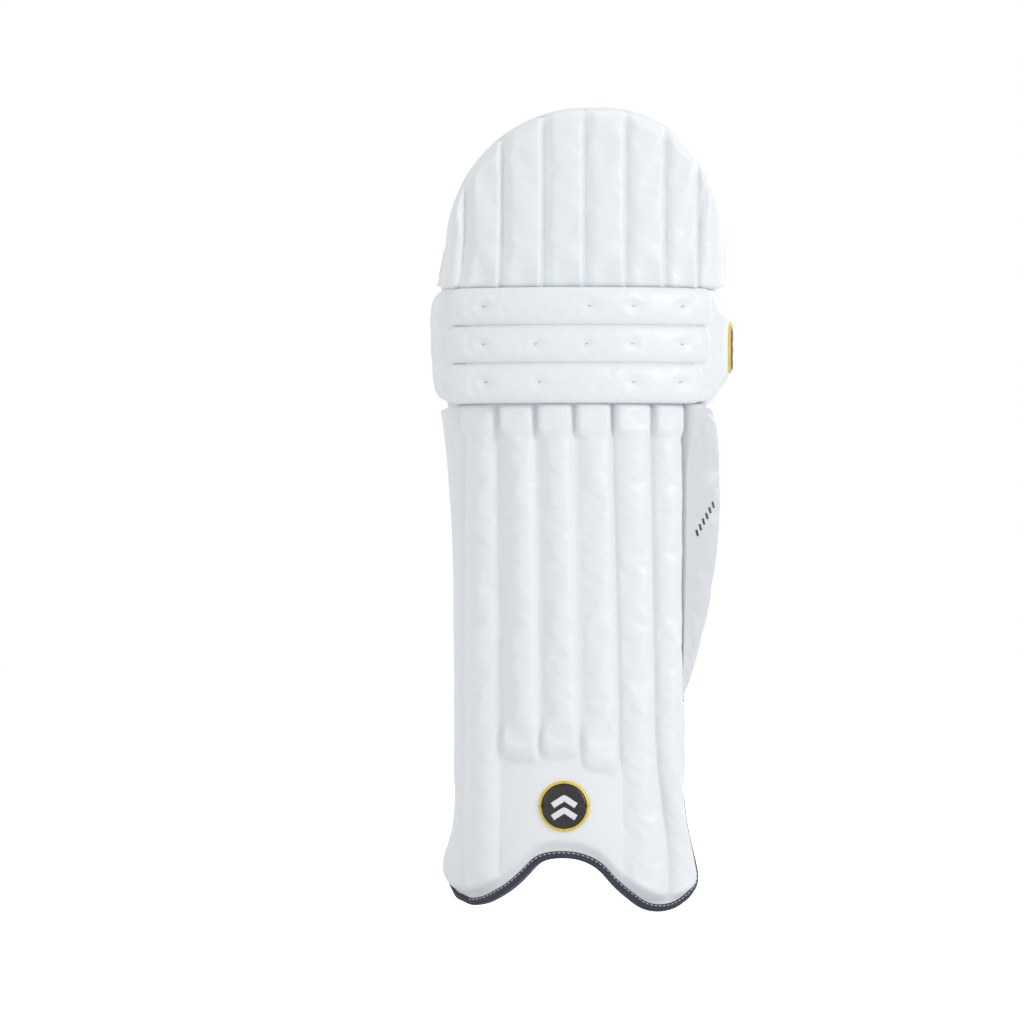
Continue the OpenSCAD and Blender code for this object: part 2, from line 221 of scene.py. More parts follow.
def turn_y(points, degrees, about):
    """Turns points about an axis along Y through about."""
    c, s = math.cos(math.radians(degrees)), math.sin(math.radians(degrees))
    p = np.array(points, float) - about
    return np.stack([p[..., 0] * c + p[..., 2] * s, p[..., 1], -p[..., 0] * s + p[..., 2] * c], -1) + about


# ---------------------------------------------------------------- materials


class Nodes:
    """A material's node tree, built from short calls."""

    def __init__(self, name, rough=0.6, sheen=0.0, coat=0.0):
        self.mat = bpy.data.materials.new(name)
        self.mat.use_nodes = True
        self.tree = self.mat.node_tree
        self.shader = self.tree.nodes["Principled BSDF"]
        self.shader.inputs["Roughness"].default_value = rough
        self.shader.inputs["Sheen Weight"].default_value = sheen
        self.shader.inputs["Coat Weight"].default_value = coat
        self.shader.inputs["Coat Roughness"].default_value = 0.3

    def add(self, kind, _out=0, _props=None, **inputs):
        """A new node's output. Inputs go by name, or by number as i0, i1 and so on."""
        node = self.tree.nodes.new(kind)
        for key, value in (_props or {}).items():
            setattr(node, key, value)
        for key, value in inputs.items():
            socket = node.inputs[int(key[1:])] if key[0] == "i" and key[1:].isdigit() else node.inputs[key]
            self.put(socket, value)
        return node.outputs[_out]

    def put(self, socket, value):
        if isinstance(value, bpy.types.NodeSocket):
            self.tree.links.new(value, socket)
        elif isinstance(value, tuple) and len(value) == 3 and socket.type == "RGBA":
            socket.default_value = (*value, 1)
        else:
            socket.default_value = value

    def math(self, op, a, b, c=0.0):
        return self.add("ShaderNodeMath", _props={"operation": op}, i0=a, i1=b, i2=c)

    def place(self, scale=1.0, turn=0.0, uv=False):
        """Coordinates in metres times scale, turned in the face's own plane."""
        source = self.add("ShaderNodeTexCoord", _out=2 if uv else 3)
        axis = (0, 0, turn) if uv else (0, turn, 0)
        scales = (scale,) * 3 if not isinstance(scale, tuple) else scale
        return self.add("ShaderNodeMapping", Vector=source, Rotation=axis, Scale=scales)

    def noise(self, where, scale, detail=2.0):
        return self.add("ShaderNodeTexNoise", Vector=where, Scale=scale, Detail=detail)

    def waves(self, where, direction, scale, **inputs):
        return self.add("ShaderNodeTexWave", _out=1, _props={"bands_direction": direction},
                        Vector=where, Scale=scale, **inputs)

    def mix(self, t, a, b):
        """Colour a where t is 0 and b where it is 1."""
        return self.add("ShaderNodeMix", _out=2, _props={"data_type": "RGBA"}, i0=t, i6=a, i7=b)

    def mix_values(self, t, a, b):
        return self.add("ShaderNodeMix", _out=0, _props={"data_type": "FLOAT"}, i0=t, i2=a, i3=b)

    def steps(self, t, low, high):
        """0 below low and 1 above high."""
        return self.add("ShaderNodeMapRange", i0=t, i1=low, i2=high, i3=0.0, i4=1.0)

    def bump(self, height, depth, strength, below=None):
        extra = {"Normal": below} if below is not None else {}
        return self.add("ShaderNodeBump", Height=height, Distance=depth, Strength=strength, **extra)

    def finish(self, colour, normal=None, rough=None):
        """Joins the results to the shader and gives the material."""
        self.put(self.shader.inputs["Base Color"], colour)
        if normal is not None:
            self.put(self.shader.inputs["Normal"], normal)
        if rough is not None:
            self.put(self.shader.inputs["Roughness"], rough)
        return self.mat


def shade(colour, share):
    """The colour, darkened to a share of itself."""
    return tuple(share * c for c in colour)


def soiled_and_shaded(m, colour, where):
    """Uneven tone over a surface, and a little dirt and painted shade in its hollows."""
    uneven, grime_and_shade = 0.06, (0.45, 0.44, 0.42)
    patch = m.steps(m.noise(where, 9.0, 3.0), 0.35, 0.7)
    tone = m.mix(m.math("MULTIPLY", patch, uneven), colour, shade(colour, 0.9))
    # Hollows found by pointiness are darkened: painted shade there, with a little dirt.
    point = m.add("ShaderNodeNewGeometry", _out=7)
    shaded_hollow = m.math("SUBTRACT", 1.0, m.steps(point, 0.40, 0.495))
    return m.mix(m.math("MULTIPLY", shaded_hollow, 0.35), tone, grime_and_shade)


def coated_leather(name, colour, rough=0.42):
    """Satin coated leather with a fine pebbled grain."""
    m = Nodes(name, coat=0.08)
    where = m.place()
    grain = m.add("ShaderNodeTexVoronoi", Vector=where, Scale=620.0)
    fine = m.noise(where, 1700.0, 3.0)
    crease = m.noise(where, 55.0, 4.0)
    height = m.math("ADD", m.math("MULTIPLY", grain, 0.6), m.math("MULTIPLY", fine, 0.5))
    low = m.bump(crease, 0.0009, 0.25)
    normal = m.bump(height, 0.00022, 0.35, below=low)
    shine = m.math("MULTIPLY_ADD", m.noise(where, 24.0, 3.0), 0.16, rough - 0.08)
    return m.finish(soiled_and_shaded(m, colour, where), normal, shine)


def cloth(name, colour, pitch):
    """Plain weave with a thread pitch in metres."""
    m = Nodes(name, rough=0.85, sheen=0.25)
    where = m.place(uv=True)
    waves = []
    for direction in "XY":
        waves.append(m.waves(where, direction, 1 / pitch / 2 / math.pi * 2, Distortion=1.2,
                             **{"Detail Scale": 2.0}))
    weave = m.math("MAXIMUM", waves[0], waves[1])
    tone = m.mix(m.math("MULTIPLY", weave, 0.35), shade(colour, 0.78), colour)
    fuzz = m.noise(where, 300.0, 4.0)
    tone = m.mix(m.math("MULTIPLY", m.steps(fuzz, 0.4, 0.7), 0.25), tone, shade(colour, 0.86))
    return m.finish(tone, m.bump(weave, 0.00025, 0.8))


def striped_band(name, bands):
    """Woven band; bands are (height in metres above its lower edge, colour), lowest first."""
    m = Nodes(name, rough=0.75, sheen=0.35)
    where = m.place(uv=True)
    across = m.add("ShaderNodeSeparateXYZ", _out=1, Vector=where)
    tone = m.mix(0.0, bands[0][1], bands[0][1])
    for (top, _), (_, colour) in zip(bands, bands[1:]):
        tone = m.mix(m.math("GREATER_THAN", across, top), tone, colour)
    rib = m.waves(where, "DIAGONAL", 1 / 0.0012 / 2 / math.pi * 2, Distortion=1.5)
    fleck = m.steps(m.noise(where, 900.0, 3.0), 0.52, 0.75)
    tone = m.mix(m.math("MULTIPLY", fleck, 0.22), tone, (0.55, 0.55, 0.72))
    tone = m.mix(m.math("MULTIPLY", rib, 0.25), tone, (0.02, 0.02, 0.04))
    return m.finish(tone, m.bump(rib, 0.0003, 0.8))


def holed_mesh(name, light, dark):
    """Spacer mesh: a diagonal grid of small dark holes in pale cloth."""
    pitch = 0.0026
    m = Nodes(name, rough=0.8, sheen=0.3)
    where = m.place(scale=1 / pitch, turn=math.radians(45), uv=True)
    hole = m.add("ShaderNodeTexVoronoi", _props={"voronoi_dimensions": "2D"}, Vector=where,
                 Scale=1.0, Randomness=0.04)
    open_part = m.math("SUBTRACT", 1.0, m.steps(hole, 0.30, 0.42))
    patch = m.steps(m.noise(m.place(uv=True), 60.0, 2.0), 0.3, 0.7)
    pale = m.mix(m.math("MULTIPLY", patch, 0.2), light, shade(light, 0.9))
    tone = m.mix(open_part, pale, dark)
    return m.finish(tone, m.bump(hole, 0.0008, 0.9))


def hatch_lines(m, where):
    """Blocks of short strokes, turned in every second block. 1 on a stroke."""
    block, stroke = 0.021, 0.0030
    grid = m.add("ShaderNodeTexChecker", _out=1, Vector=where, Scale=1 / block,
                 Color1=(1, 1, 1), Color2=(0, 0, 0))
    lines = []
    for direction in ("X", "Z"):
        wave = m.waves(where, direction, 1 / stroke / 2 / math.pi, Distortion=0.6)
        lines.append(m.steps(wave, 0.80, 0.93))
    both = m.mix_values(grid, lines[0], lines[1])
    worn = m.steps(m.noise(where, 38.0, 2.0), 0.42, 0.56)
    return m.math("MULTIPLY", both, worn)


def cell_lines(m, where):
    """Lines between rough cells, like large scales. 1 on a line."""
    size = 0.0135
    edge = m.add("ShaderNodeTexVoronoi", _props={"feature": "DISTANCE_TO_EDGE"}, Vector=where,
                 Scale=1 / size, Randomness=0.55)
    return m.math("SUBTRACT", 1.0, m.steps(edge, 0.02, 0.06))


def printed_lining(name, low=0.0, gold_slope=0.0, lime_slope=0.0, cells=0.0, plain_above=None):
    """Dark glossy printed cloth. Above a V that starts at height low it is hatched, and
    below it is covered in cells; cells = 1 puts cells everywhere and 0 hatches everywhere."""
    m = Nodes(name, coat=0.12)
    where = m.place()
    turned = m.place(turn=math.radians(38))
    hatch = hatch_lines(m, turned)
    scales = cell_lines(m, where)
    if gold_slope:
        split = m.add("ShaderNodeSeparateXYZ", Vector=where)
        x, z = split, split.node.outputs[2]
        right = m.math("MULTIPLY", m.math("MAXIMUM", x, 0.0), gold_slope)
        left = m.math("MULTIPLY", m.math("MINIMUM", x, 0.0), -lime_slope)
        rise = m.math("SUBTRACT", z, m.math("ADD", m.math("ADD", right, left), low))
        above = m.math("GREATER_THAN", rise, 0.0)
    else:
        above = 1.0 - cells
    line = m.mix_values(above, scales, hatch)
    if plain_above is not None:
        height = m.add("ShaderNodeSeparateXYZ", _out=2, Vector=where)
        line = m.math("MULTIPLY", line, m.math("LESS_THAN", height, plain_above))
    patch = m.noise(where, 14.0, 3.0)
    base = m.mix(patch, (0.058, 0.064, 0.092), (0.088, 0.096, 0.132))
    tone = m.mix(m.math("MULTIPLY", line, 0.85), base, (0.012, 0.013, 0.022))
    weave = m.noise(where, 1400.0, 2.0)
    height = m.math("SUBTRACT", m.math("MULTIPLY", weave, 0.15), line)
    shine = m.math("MULTIPLY_ADD", patch, 0.15, 0.30)
    return m.finish(tone, m.bump(height, 0.0006, 0.7), shine)


def film(name, colour):
    """Heat-pressed film or moulded badge: smooth with a faint orange peel."""
    m = Nodes(name, rough=0.35, coat=0.3)
    where = m.place()
    tone = m.mix(m.steps(m.noise(where, 40.0, 3.0), 0.35, 0.7), colour, shade(colour, 0.9))
    return m.finish(tone, m.bump(m.noise(where, 260.0, 2.0), 0.0002, 0.4))


def fine_stripes(name, stripe, ground, pitch, degrees, share):
    """Slanting printed stripes; share of the ground is covered."""
    m = Nodes(name, rough=0.4, coat=0.2)
    wave = m.waves(m.place(turn=math.radians(degrees)), "X", 1 / pitch / 2 / math.pi)
    line = m.steps(wave, 1 - share - 0.06, 1 - share + 0.06)
    return m.finish(m.mix(line, ground, stripe), m.bump(line, 0.0003, 0.5))


def thread(name, colour):
    """Twisted sewing thread."""
    m = Nodes(name, rough=0.7, sheen=0.4)
    ply = m.waves(m.place(), "DIAGONAL", 260.0)
    tone = m.mix(m.math("MULTIPLY", ply, 0.4), colour, shade(colour, 0.7))
    return m.finish(tone, m.bump(ply, 0.0002, 0.6))


def fuzzy(name, colour):
    """Hook or loop patch."""
    m = Nodes(name, rough=0.95, sheen=0.6)
    fuzz = m.noise(m.place(), 1500.0, 5.0)
    tone = m.mix(m.steps(fuzz, 0.35, 0.7), shade(colour, 0.7), colour)
    return m.finish(tone, m.bump(fuzz, 0.0008, 1.0))


def cane_wood(name):
    """Split cane, its fibres upright."""
    m = Nodes(name, rough=0.6)
    fibre = m.noise(m.place(scale=(900.0, 900.0, 18.0)), 1.0, 4.0)
    return m.finish(m.mix(fibre, (0.46, 0.31, 0.14), (0.72, 0.56, 0.33)), m.bump(fibre, 0.0003, 0.5))


WHITE = (0.79, 0.825, 0.85)
# The face's white darkened to about 0.79 of itself: painted shade for the calf wing, which turns away from
# the front light.
SHADED_WING_WHITE = (0.62, 0.65, 0.68)
LINEN = (0.77, 0.785, 0.81)
GOLD = (0.87, 0.62, 0.03)
LIME = (0.66, 0.92, 0.14)
PALE_LIME = (0.80, 0.97, 0.42)
NAVY = (0.036, 0.030, 0.105)
SLATE = (0.040, 0.050, 0.080)
INK = (0.012, 0.012, 0.014)

LEATHER = coated_leather("coated_leather", WHITE)
SHADED_WING = coated_leather("wing_leather_shaded", SHADED_WING_WHITE, rough=0.46)
LINING_WHITE = coated_leather("lining_leather", LINEN, rough=0.5)
MESH = holed_mesh("spacer_mesh", (0.66, 0.67, 0.74), (0.035, 0.035, 0.075))
THIGH_PRINT = printed_lining("thigh_print", THIGH_LOW / 1000 + 0.009, 1.09, 0.92)
HATCH_PRINT = printed_lining("hatch_print", cells=0.0)
CELL_PRINT = printed_lining("cell_print", cells=1.0)
BINDING = cloth("binding_tape", SLATE, pitch=0.0012)
STRAP = cloth("strap_cloth", (0.80, 0.80, 0.83), pitch=0.0010)
WHITE_THREAD = thread("white_thread", (0.80, 0.80, 0.80))
GREY_THREAD = thread("grey_thread", (0.42, 0.44, 0.48))
GOLD_FILM = film("gold_film", GOLD)
LIME_FILM = film("lime_film", LIME)
WHITE_FILM = film("white_film", (0.80, 0.80, 0.84))
BLACK_FILM = film("black_film", INK)
NAVY_FILM = film("navy_film", NAVY)
PANEL_PRINT = printed_lining("panel_print", cells=1.0, plain_above=0.285)
TIP_STRIPES = fine_stripes("tip_stripes", (0.30, 0.32, 0.36), (0.74, 0.75, 0.78), 0.0026, 47, 0.45)
ROOT_STRIPES = fine_stripes("root_stripes", (0.36, 0.38, 0.48), NAVY, 0.0022, -38, 0.5)
HOOK = fuzzy("hook_face", (0.50, 0.51, 0.54))
LOOP = fuzzy("loop_face", (0.72, 0.72, 0.75))
CANE = cane_wood("cane_rod")

# ---------------------------------------------------------------- mesh tools

SWELLING = []


def mesh_object(name, points, faces, material, uvs=None):
    """Makes an object from points in millimetres; uvs are per vertex, in metres."""
    mesh = bpy.data.meshes.new(name)
    mesh.from_pydata((np.asarray(points, float) / 1000).tolist(), [], [list(map(int, f)) for f in faces])
    mesh.update()
    obj = bpy.data.objects.new(name, mesh)
    bpy.context.scene.collection.objects.link(obj)
    mesh.materials.append(material)
    if uvs is not None:
        layer = mesh.uv_layers.new(name="UVMap")
        index = np.empty(len(mesh.loops), int)
        mesh.loops.foreach_get("vertex_index", index)
        layer.data.foreach_set("uv", np.asarray(uvs, float)[index].ravel())
    mesh.polygons.foreach_set("use_smooth", [True] * len(mesh.polygons))
    return obj


def grid_faces(rows, cols, start=0, flip=False):
    """Quads of a grid of points that are numbered row by row from start."""
    out = []
    for j in range(rows - 1):
        for i in range(cols - 1):
            a = start + j * cols + i
            quad = [a, a + 1, a + cols + 1, a + cols]
            out.append(quad[::-1] if flip else quad)
    return out


def fix_normals(obj):
    """Turns every face of a closed mesh outwards."""
    bm = bmesh.new()
    bm.from_mesh(obj.data)
    bmesh.ops.recalc_face_normals(bm, faces=bm.faces)
    bm.to_mesh(obj.data)
    bm.free()


def slab(name, front, back, material, rounds=1, levels=1):
    """Closed pad from two grids of points that share their layout; rounds are the
    rows of points between them round the edge."""
    front, back = np.asarray(front, float), np.asarray(back, float)
    rows, cols = front.shape[:2]
    loop = ([(0, i) for i in range(cols)] + [(j, cols - 1) for j in range(1, rows)]
            + [(rows - 1, i) for i in range(cols - 2, -1, -1)] + [(j, 0) for j in range(rows - 2, 0, -1)])
    flat = [front.reshape(-1, 3), back.reshape(-1, 3)]
    faces = grid_faces(rows, cols) + grid_faces(rows, cols, rows * cols, flip=True)
    count = 2 * rows * cols
    rim = [j * cols + i for j, i in loop]
    lanes = [rim]
    for k in range(1, rounds + 1):
        t = k / (rounds + 1)
        flat.append(lerp(flat[0][rim], flat[1][rim], t))
        lanes.append(list(range(count, count + len(loop))))
        count += len(loop)
    lanes.append([rows * cols + k for k in rim])
    for low, high in zip(lanes, lanes[1:]):
        for k in range(len(loop)):
            n = (k + 1) % len(loop)
            faces.append([low[n], low[k], high[k], high[n]])
    across = np.concatenate([np.zeros((rows, 1)), np.cumsum(
        np.linalg.norm(np.diff(front, axis=1), axis=-1), axis=1)], axis=1)
    up = np.concatenate([np.zeros((1, cols)), np.cumsum(
        np.linalg.norm(np.diff(front, axis=0), axis=-1), axis=0)], axis=0)
    one = np.stack([across, up], -1).reshape(-1, 2) / 1000
    uvs = np.vstack([one, one] + [one[rim]] * rounds)
    obj = mesh_object(name, np.vstack(flat), faces, material, uvs)
    fix_normals(obj)
    if levels:
        sub = obj.modifiers.new("smooth", "SUBSURF")
        sub.levels = sub.render_levels = levels
    return obj


def swell(obj, free, cap, pressure=2.0, slack=-0.02):
    """Queues a pad for the cloth simulation. free says, for each point of its front grid, how
    far it may move, from 0 (it stays) to 1 (cap mm at most); slack is its shrinking."""
    pinned = np.ones(len(obj.data.vertices))
    pinned[:free.size] = np.round(np.clip(1 - free, 0, 1).ravel() * 10) / 10
    group = obj.vertex_groups.new(name="pinned")
    for weight in np.unique(pinned):
        if weight > 0:
            group.add([int(i) for i in np.flatnonzero(pinned == weight)], float(weight), "REPLACE")
    SWELLING.append((obj, cap, pressure, slack))


def run_cloth():
    """Simulates every queued pad together and keeps the capped result."""
    frames = 20
    scene = bpy.context.scene
    for obj, _, pressure, slack in SWELLING:
        mod = obj.modifiers.new("cloth", "CLOTH")
        while obj.modifiers[0] != mod:
            with bpy.context.temp_override(object=obj):
                bpy.ops.object.modifier_move_up(modifier=mod.name)
        s = mod.settings
        s.quality = 4
        s.mass = 0.25
        s.tension_stiffness, s.compression_stiffness = 18, 18
        s.shear_stiffness, s.bending_stiffness = 8, 1.2
        s.use_pressure, s.uniform_pressure_force = True, pressure
        s.shrink_min = slack
        s.vertex_group_mass = "pinned"
        s.effector_weights.gravity = 0
        mod.collision_settings.use_collision = False
        mod.point_cache.frame_start, mod.point_cache.frame_end = 1, frames
    for f in range(1, frames + 1):
        scene.frame_set(f)
    graph = bpy.context.evaluated_depsgraph_get()
    results = []
    for obj, *_ in SWELLING:
        for mod in obj.modifiers:
            if mod.type == "SUBSURF":
                mod.show_viewport = False
    graph.update()
    for obj, cap, *_ in SWELLING:
        made = obj.evaluated_get(graph).data
        count = len(obj.data.vertices)
        if len(made.vertices) != count:
            raise RuntimeError(obj.name + ": cloth result has another point count")
        rest, now = np.empty(count * 3), np.empty(count * 3)
        obj.data.vertices.foreach_get("co", rest)
        made.vertices.foreach_get("co", now)
        rest, now = rest.reshape(-1, 3), now.reshape(-1, 3)
        move = now - rest
        size = np.maximum(np.linalg.norm(move, axis=1, keepdims=True), 1e-9)
        limit = cap / 1000
        move *= limit * np.tanh(size / limit) / size
        results.append((obj, rest + move))
    for obj, points in results:
        obj.modifiers.remove(obj.modifiers["cloth"])
        obj.vertex_groups.clear()
        obj.data.vertices.foreach_set("co", points.ravel())
        obj.data.update()
        for mod in obj.modifiers:
            mod.show_viewport = True
    scene.frame_set(1)


def skin_of(obj):
    """The piece's final surface, for pieces that lie on it."""
    return BVHTree.FromObject(obj, bpy.context.evaluated_depsgraph_get())


def lie_on(skins, x, z, side, lift):
    """The first surface met at (x, z), seen from the front (side -1) or the rear (side 1),
    and lifted off it, in millimetres; side 2 looks from the outer side, at (y, z).
    A missed ray gives None."""
    if side == 2:
        start, ray = Vector((0.5, x / 1000, z / 1000)), Vector((-1, 0, 0))
    else:
        start, ray = Vector((x / 1000, side * 0.5, z / 1000)), Vector((0, -side, 0))
    best = None
    for tree in skins:
        hit, normal, _, away = tree.ray_cast(start, ray)
        if hit is not None and (best is None or away < best[2]):
            best = (hit, normal, away)
    if best is None:
        return None
    hit, normal, _ = best
    if normal.dot(ray) > 0:
        normal = -normal
    return np.array(hit) * 1000 + np.array(normal) * lift


def decal(name, outline, skins, side, material, thick):
    """A thin plate of any outline (x, z points) that follows the surface under it."""
    outline = np.array(outline, float)
    centre = outline.mean(0)
    lift, rings = 0.2, 7
    points, last = [], None
    for layer in (lift + thick, lift - 0.5):
        for k in range(rings + 1):
            t = k / rings
            for p in outline if k else outline[:1]:
                q = lerp(centre, p, t)
                at = lie_on(skins, q[0], q[1], side, layer)
                if at is None:
                    at = last if last is not None else np.array([q[0], 0, q[1]])
                    at = np.array([q[0], at[1], q[1]])
                last = at
                points.append(at)
    n = len(outline)
    size = 1 + rings * n
    faces = []
    for base, flip in ((0, False), (size, True)):
        for i in range(n):
            j = (i + 1) % n
            faces.append([base, base + 1 + i, base + 1 + j][::-1 if flip else 1])
            for k in range(rings - 1):
                a = base + 1 + k * n
                faces.append([a + i, a + n + i, a + n + j, a + j][::-1 if flip else 1])
    edge, under = 1 + (rings - 1) * n, size + 1 + (rings - 1) * n
    for i in range(n):
        j = (i + 1) % n
        faces.append([edge + i, under + i, under + j, edge + j])
    obj = mesh_object(name, points, faces, material)
    fix_normals(obj)
    return obj


def ribbon(name, path, width, skins, side, material, lift=0.15, thick=0.3, step=2.5):
    """A printed stripe along a path of (x, z) points."""
    path = np.array(path, float)
    length = run_of(path)[-1]
    count = max(3, int(length / step))
    line = resample(path, np.linspace(0, length, count))
    along = unit(np.gradient(line, axis=0))
    across = np.stack([-along[:, 1], along[:, 0]], -1)
    cols = 5
    top, low, last = [], [], None
    for i in range(count):
        for c in range(cols):
            k = c / (cols - 1) - 0.5
            p = line[i] + across[i] * width * k
            for layer, out in ((lift + thick, top), (lift - 0.5, low)):
                q = lie_on(skins, p[0], p[1], side, layer)
                if q is None:
                    q = np.array([p[0], last[1] if last is not None else 0, p[1]])
                last = q
                out.append(q)
    top, low = np.array(top).reshape(count, cols, 3), np.array(low).reshape(count, cols, 3)
    return slab(name, top, low, material, rounds=0, levels=0)


def tube_faces(count, sides, flip=False):
    """Faces of a closed tube of count rings of points; flip turns its two ends over."""
    faces = []
    for i in range(count - 1):
        for k in range(sides):
            n = (k + 1) % sides
            faces.append([i * sides + k, i * sides + n, (i + 1) * sides + n, (i + 1) * sides + k])
    ends = [list(range(sides))[::-1], [(count - 1) * sides + k for k in range(sides)]]
    return faces + [end[::-1] if flip else end for end in ends]


def tube_mesh(path, radius, sides=6):
    """Points and faces of a closed tube along a path."""
    path = np.array(path, float)
    along = unit(np.gradient(path, axis=0))
    ref = np.where(np.abs(along[:, 2:3]) > 0.9, np.array([[1.0, 0, 0]]), np.array([[0, 0, 1.0]]))
    a = unit(np.cross(along, ref))
    b = np.cross(along, a)
    points = []
    for i in range(len(path)):
        r = radius * (0.35 if i in (0, len(path) - 1) else 1.0)
        for k in range(sides):
            t = 2 * math.pi * k / sides
            points.append(path[i] + a[i] * r * math.cos(t) + b[i] * r * math.sin(t))
    return np.array(points), tube_faces(len(path), sides)


def stitches(name, path, length, gap, radius):
    """A row of short stitches along a path of 3-D points in millimetres."""
    points, faces, count = [], [], 0
    for start in np.arange(gap, run_of(path)[-1] - length, length + gap):
        p, f = tube_mesh(resample(path, np.linspace(start, start + length, 4)), radius, 5)
        points.append(p)
        faces += [[i + count for i in q] for q in f]
        count += len(p)
    obj = mesh_object(name, np.vstack(points), faces, WHITE_THREAD)
    fix_normals(obj)
    return obj


def on_surface(path, skins, side, lift):
    """The (x, z) path laid on a surface; points that miss are left out."""
    out = [lie_on(skins, x, z, side, lift) for x, z in path]
    return np.array([p for p in out if p is not None])


def rounded(x0, x1, z0, z1, r):
    """Outline of a rectangle with round corners; a disc when r is half its sides."""
    centres = ((x1 - r, z1 - r), (x0 + r, z1 - r), (x0 + r, z0 + r), (x1 - r, z0 + r))
    points = []
    for corner, (cx, cz) in enumerate(centres):
        for k in range(9):
            a = math.radians(90 * corner + 90 * k / 8)
            points.append((cx + r * math.cos(a), cz + r * math.sin(a)))
    return thicken(points)


def thicken(points):
    """The same outline with a point every few millimetres."""
    step, out = 4.0, []
    for (ax, az), (bx, bz) in zip(points, points[1:] + points[:1]):
        n = max(1, int(math.hypot(bx - ax, bz - az) / step))
        out += [(lerp(ax, bx, k / n), lerp(az, bz, k / n)) for k in range(n)]
    return out


def inset(points, by):
    """A polygon pulled in by a distance on every side."""
    p = np.array(points, float)
    area = np.sum(p[:, 0] * np.roll(p[:, 1], -1) - np.roll(p[:, 0], -1) * p[:, 1])
    along = unit(np.roll(p, -1, axis=0) - p)
    inward = np.stack([-along[:, 1], along[:, 0]], -1) * np.sign(area)
    out = []
    for i in range(len(p)):
        a, b = inward[i - 1], inward[i]
        out.append(tuple(p[i] + (a + b) * by / (1 + float(a @ b))))
    return out


def chevron(name, x, z, wide, tall, width, skins, side, lift):
    """A white chevron that points up."""
    path = [(x - wide / 2, z), (x, z + tall), (x + wide / 2, z)]
    return ribbon(name, path, width, skins, side, WHITE_FILM, lift, 0.35, 1.2)


def make_badge(name, body, box, corner, skins, side, rim, line):
    """Moulded badge: a rim, a gold line, a black field, and chevrons in place of any mark."""
    x0, x1, z0, z1 = box

    def plate(part, by, material, thick):
        shape = rounded(x0 + by, x1 - by, z0 + by, z1 - by, max(corner - by, 1.5))
        return decal(name + part, shape, skins, side, material, thick)

    parts = [plate("_border", 0, WHITE_FILM, 1.3)] if rim else []
    parts += [plate("_line", rim, GOLD_FILM, 1.7), plate("_field", rim + line, BLACK_FILM, 2.0)]
    x, wide, tall = (x0 + x1) / 2, (x1 - x0) * 0.46, (z1 - z0) * 0.15
    for k in range(2):
        z = z0 + (z1 - z0) * (0.27 + 0.24 * k)
        parts.append(chevron(f"{name}_chevron_{k + 1}", x, z, wide, tall, wide * 0.26, skins, side, 2.1))
    for k, part in enumerate(parts):
        done(part, body, "badge_rubber", *([name] if k == 0 else []))


def tack(name, x, z, skins, turns):
    """Loose ends of a knotted thread on the knee section."""
    length = 7.0
    for k, turn in enumerate(turns):
        a = math.radians(turn)
        at = [(x + t * length * math.cos(a), z + t * length * math.sin(a)) for t in np.linspace(0, 1, 6)]
        line = on_surface(at, skins, 1, 0.5)
        if len(line) > 2:
            points, faces = tube_mesh(line, 0.4, 6)
            done(mesh_object(f"{name}_{k + 1}", points, faces, WHITE_THREAD), "knee", "white_lining")


def make_tab(skins):
    """Pointed grip on the calf strap: lime and striped at its tip, navy and striped at its root."""
    z = node_box("calf_strap_tab")[0][2] + 26
    whole = [(110, 1), (84, 23), (25, 22), (19, 15), (-8, 15), (2, -26), (84, -24)]
    tip = [(108, 1), (83, 21.5), (76, 21.5), (30, -23.5), (82, -22.5)]
    root = [(76, 22), (27, 21.5), (20, 14.5), (-7, 14.5), (2.5, -25.5), (28, -25.5)]
    plates = (("calf_strap_tab_base", whole, 0, WHITE_FILM, 0.9),
              ("calf_strap_tab_tip", tip, 0.8, LIME_FILM, 1.2),
              ("calf_strap_tab_tip_print", tip, 5.6, TIP_STRIPES, 1.45),
              ("calf_strap_tab_root", root, 0.3, NAVY_FILM, 1.3),
              ("calf_strap_tab_root_print", root, 4.4, ROOT_STRIPES, 1.55))
    for k, (name, shape, by, material, thick) in enumerate(plates):
        shape = [(x, z + up) for x, up in shape]
        plate = decal(name, thicken(inset(shape, by) if by else shape), skins, 1, material, thick)
        done(plate, "calf_strap", "printed_tab", *(["calf_strap_tab"] if k == 0 else []))
    for k in range(7):
        t = 0.18 + 0.105 * k
        x, up = lerp(72, 28, t), lerp(19, -22, t)
        dash = ribbon(f"calf_strap_tab_dash_{k + 1}", [(x, z + up), (x - 2.2, z + up - 2.1)], 1.7,
                      skins, 1, WHITE_FILM, lift=1.5, step=0.8)
        done(dash, "calf_strap", "printed_tab")


def done(obj, body, slot, *nodes, pad=None):
    """Rides on its body and hides the nodes that the piece stands for; slot is not used."""
    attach(obj, body)
    if nodes:
        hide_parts(*nodes)
    return obj


# ---------------------------------------------------------------- camera, floor and light


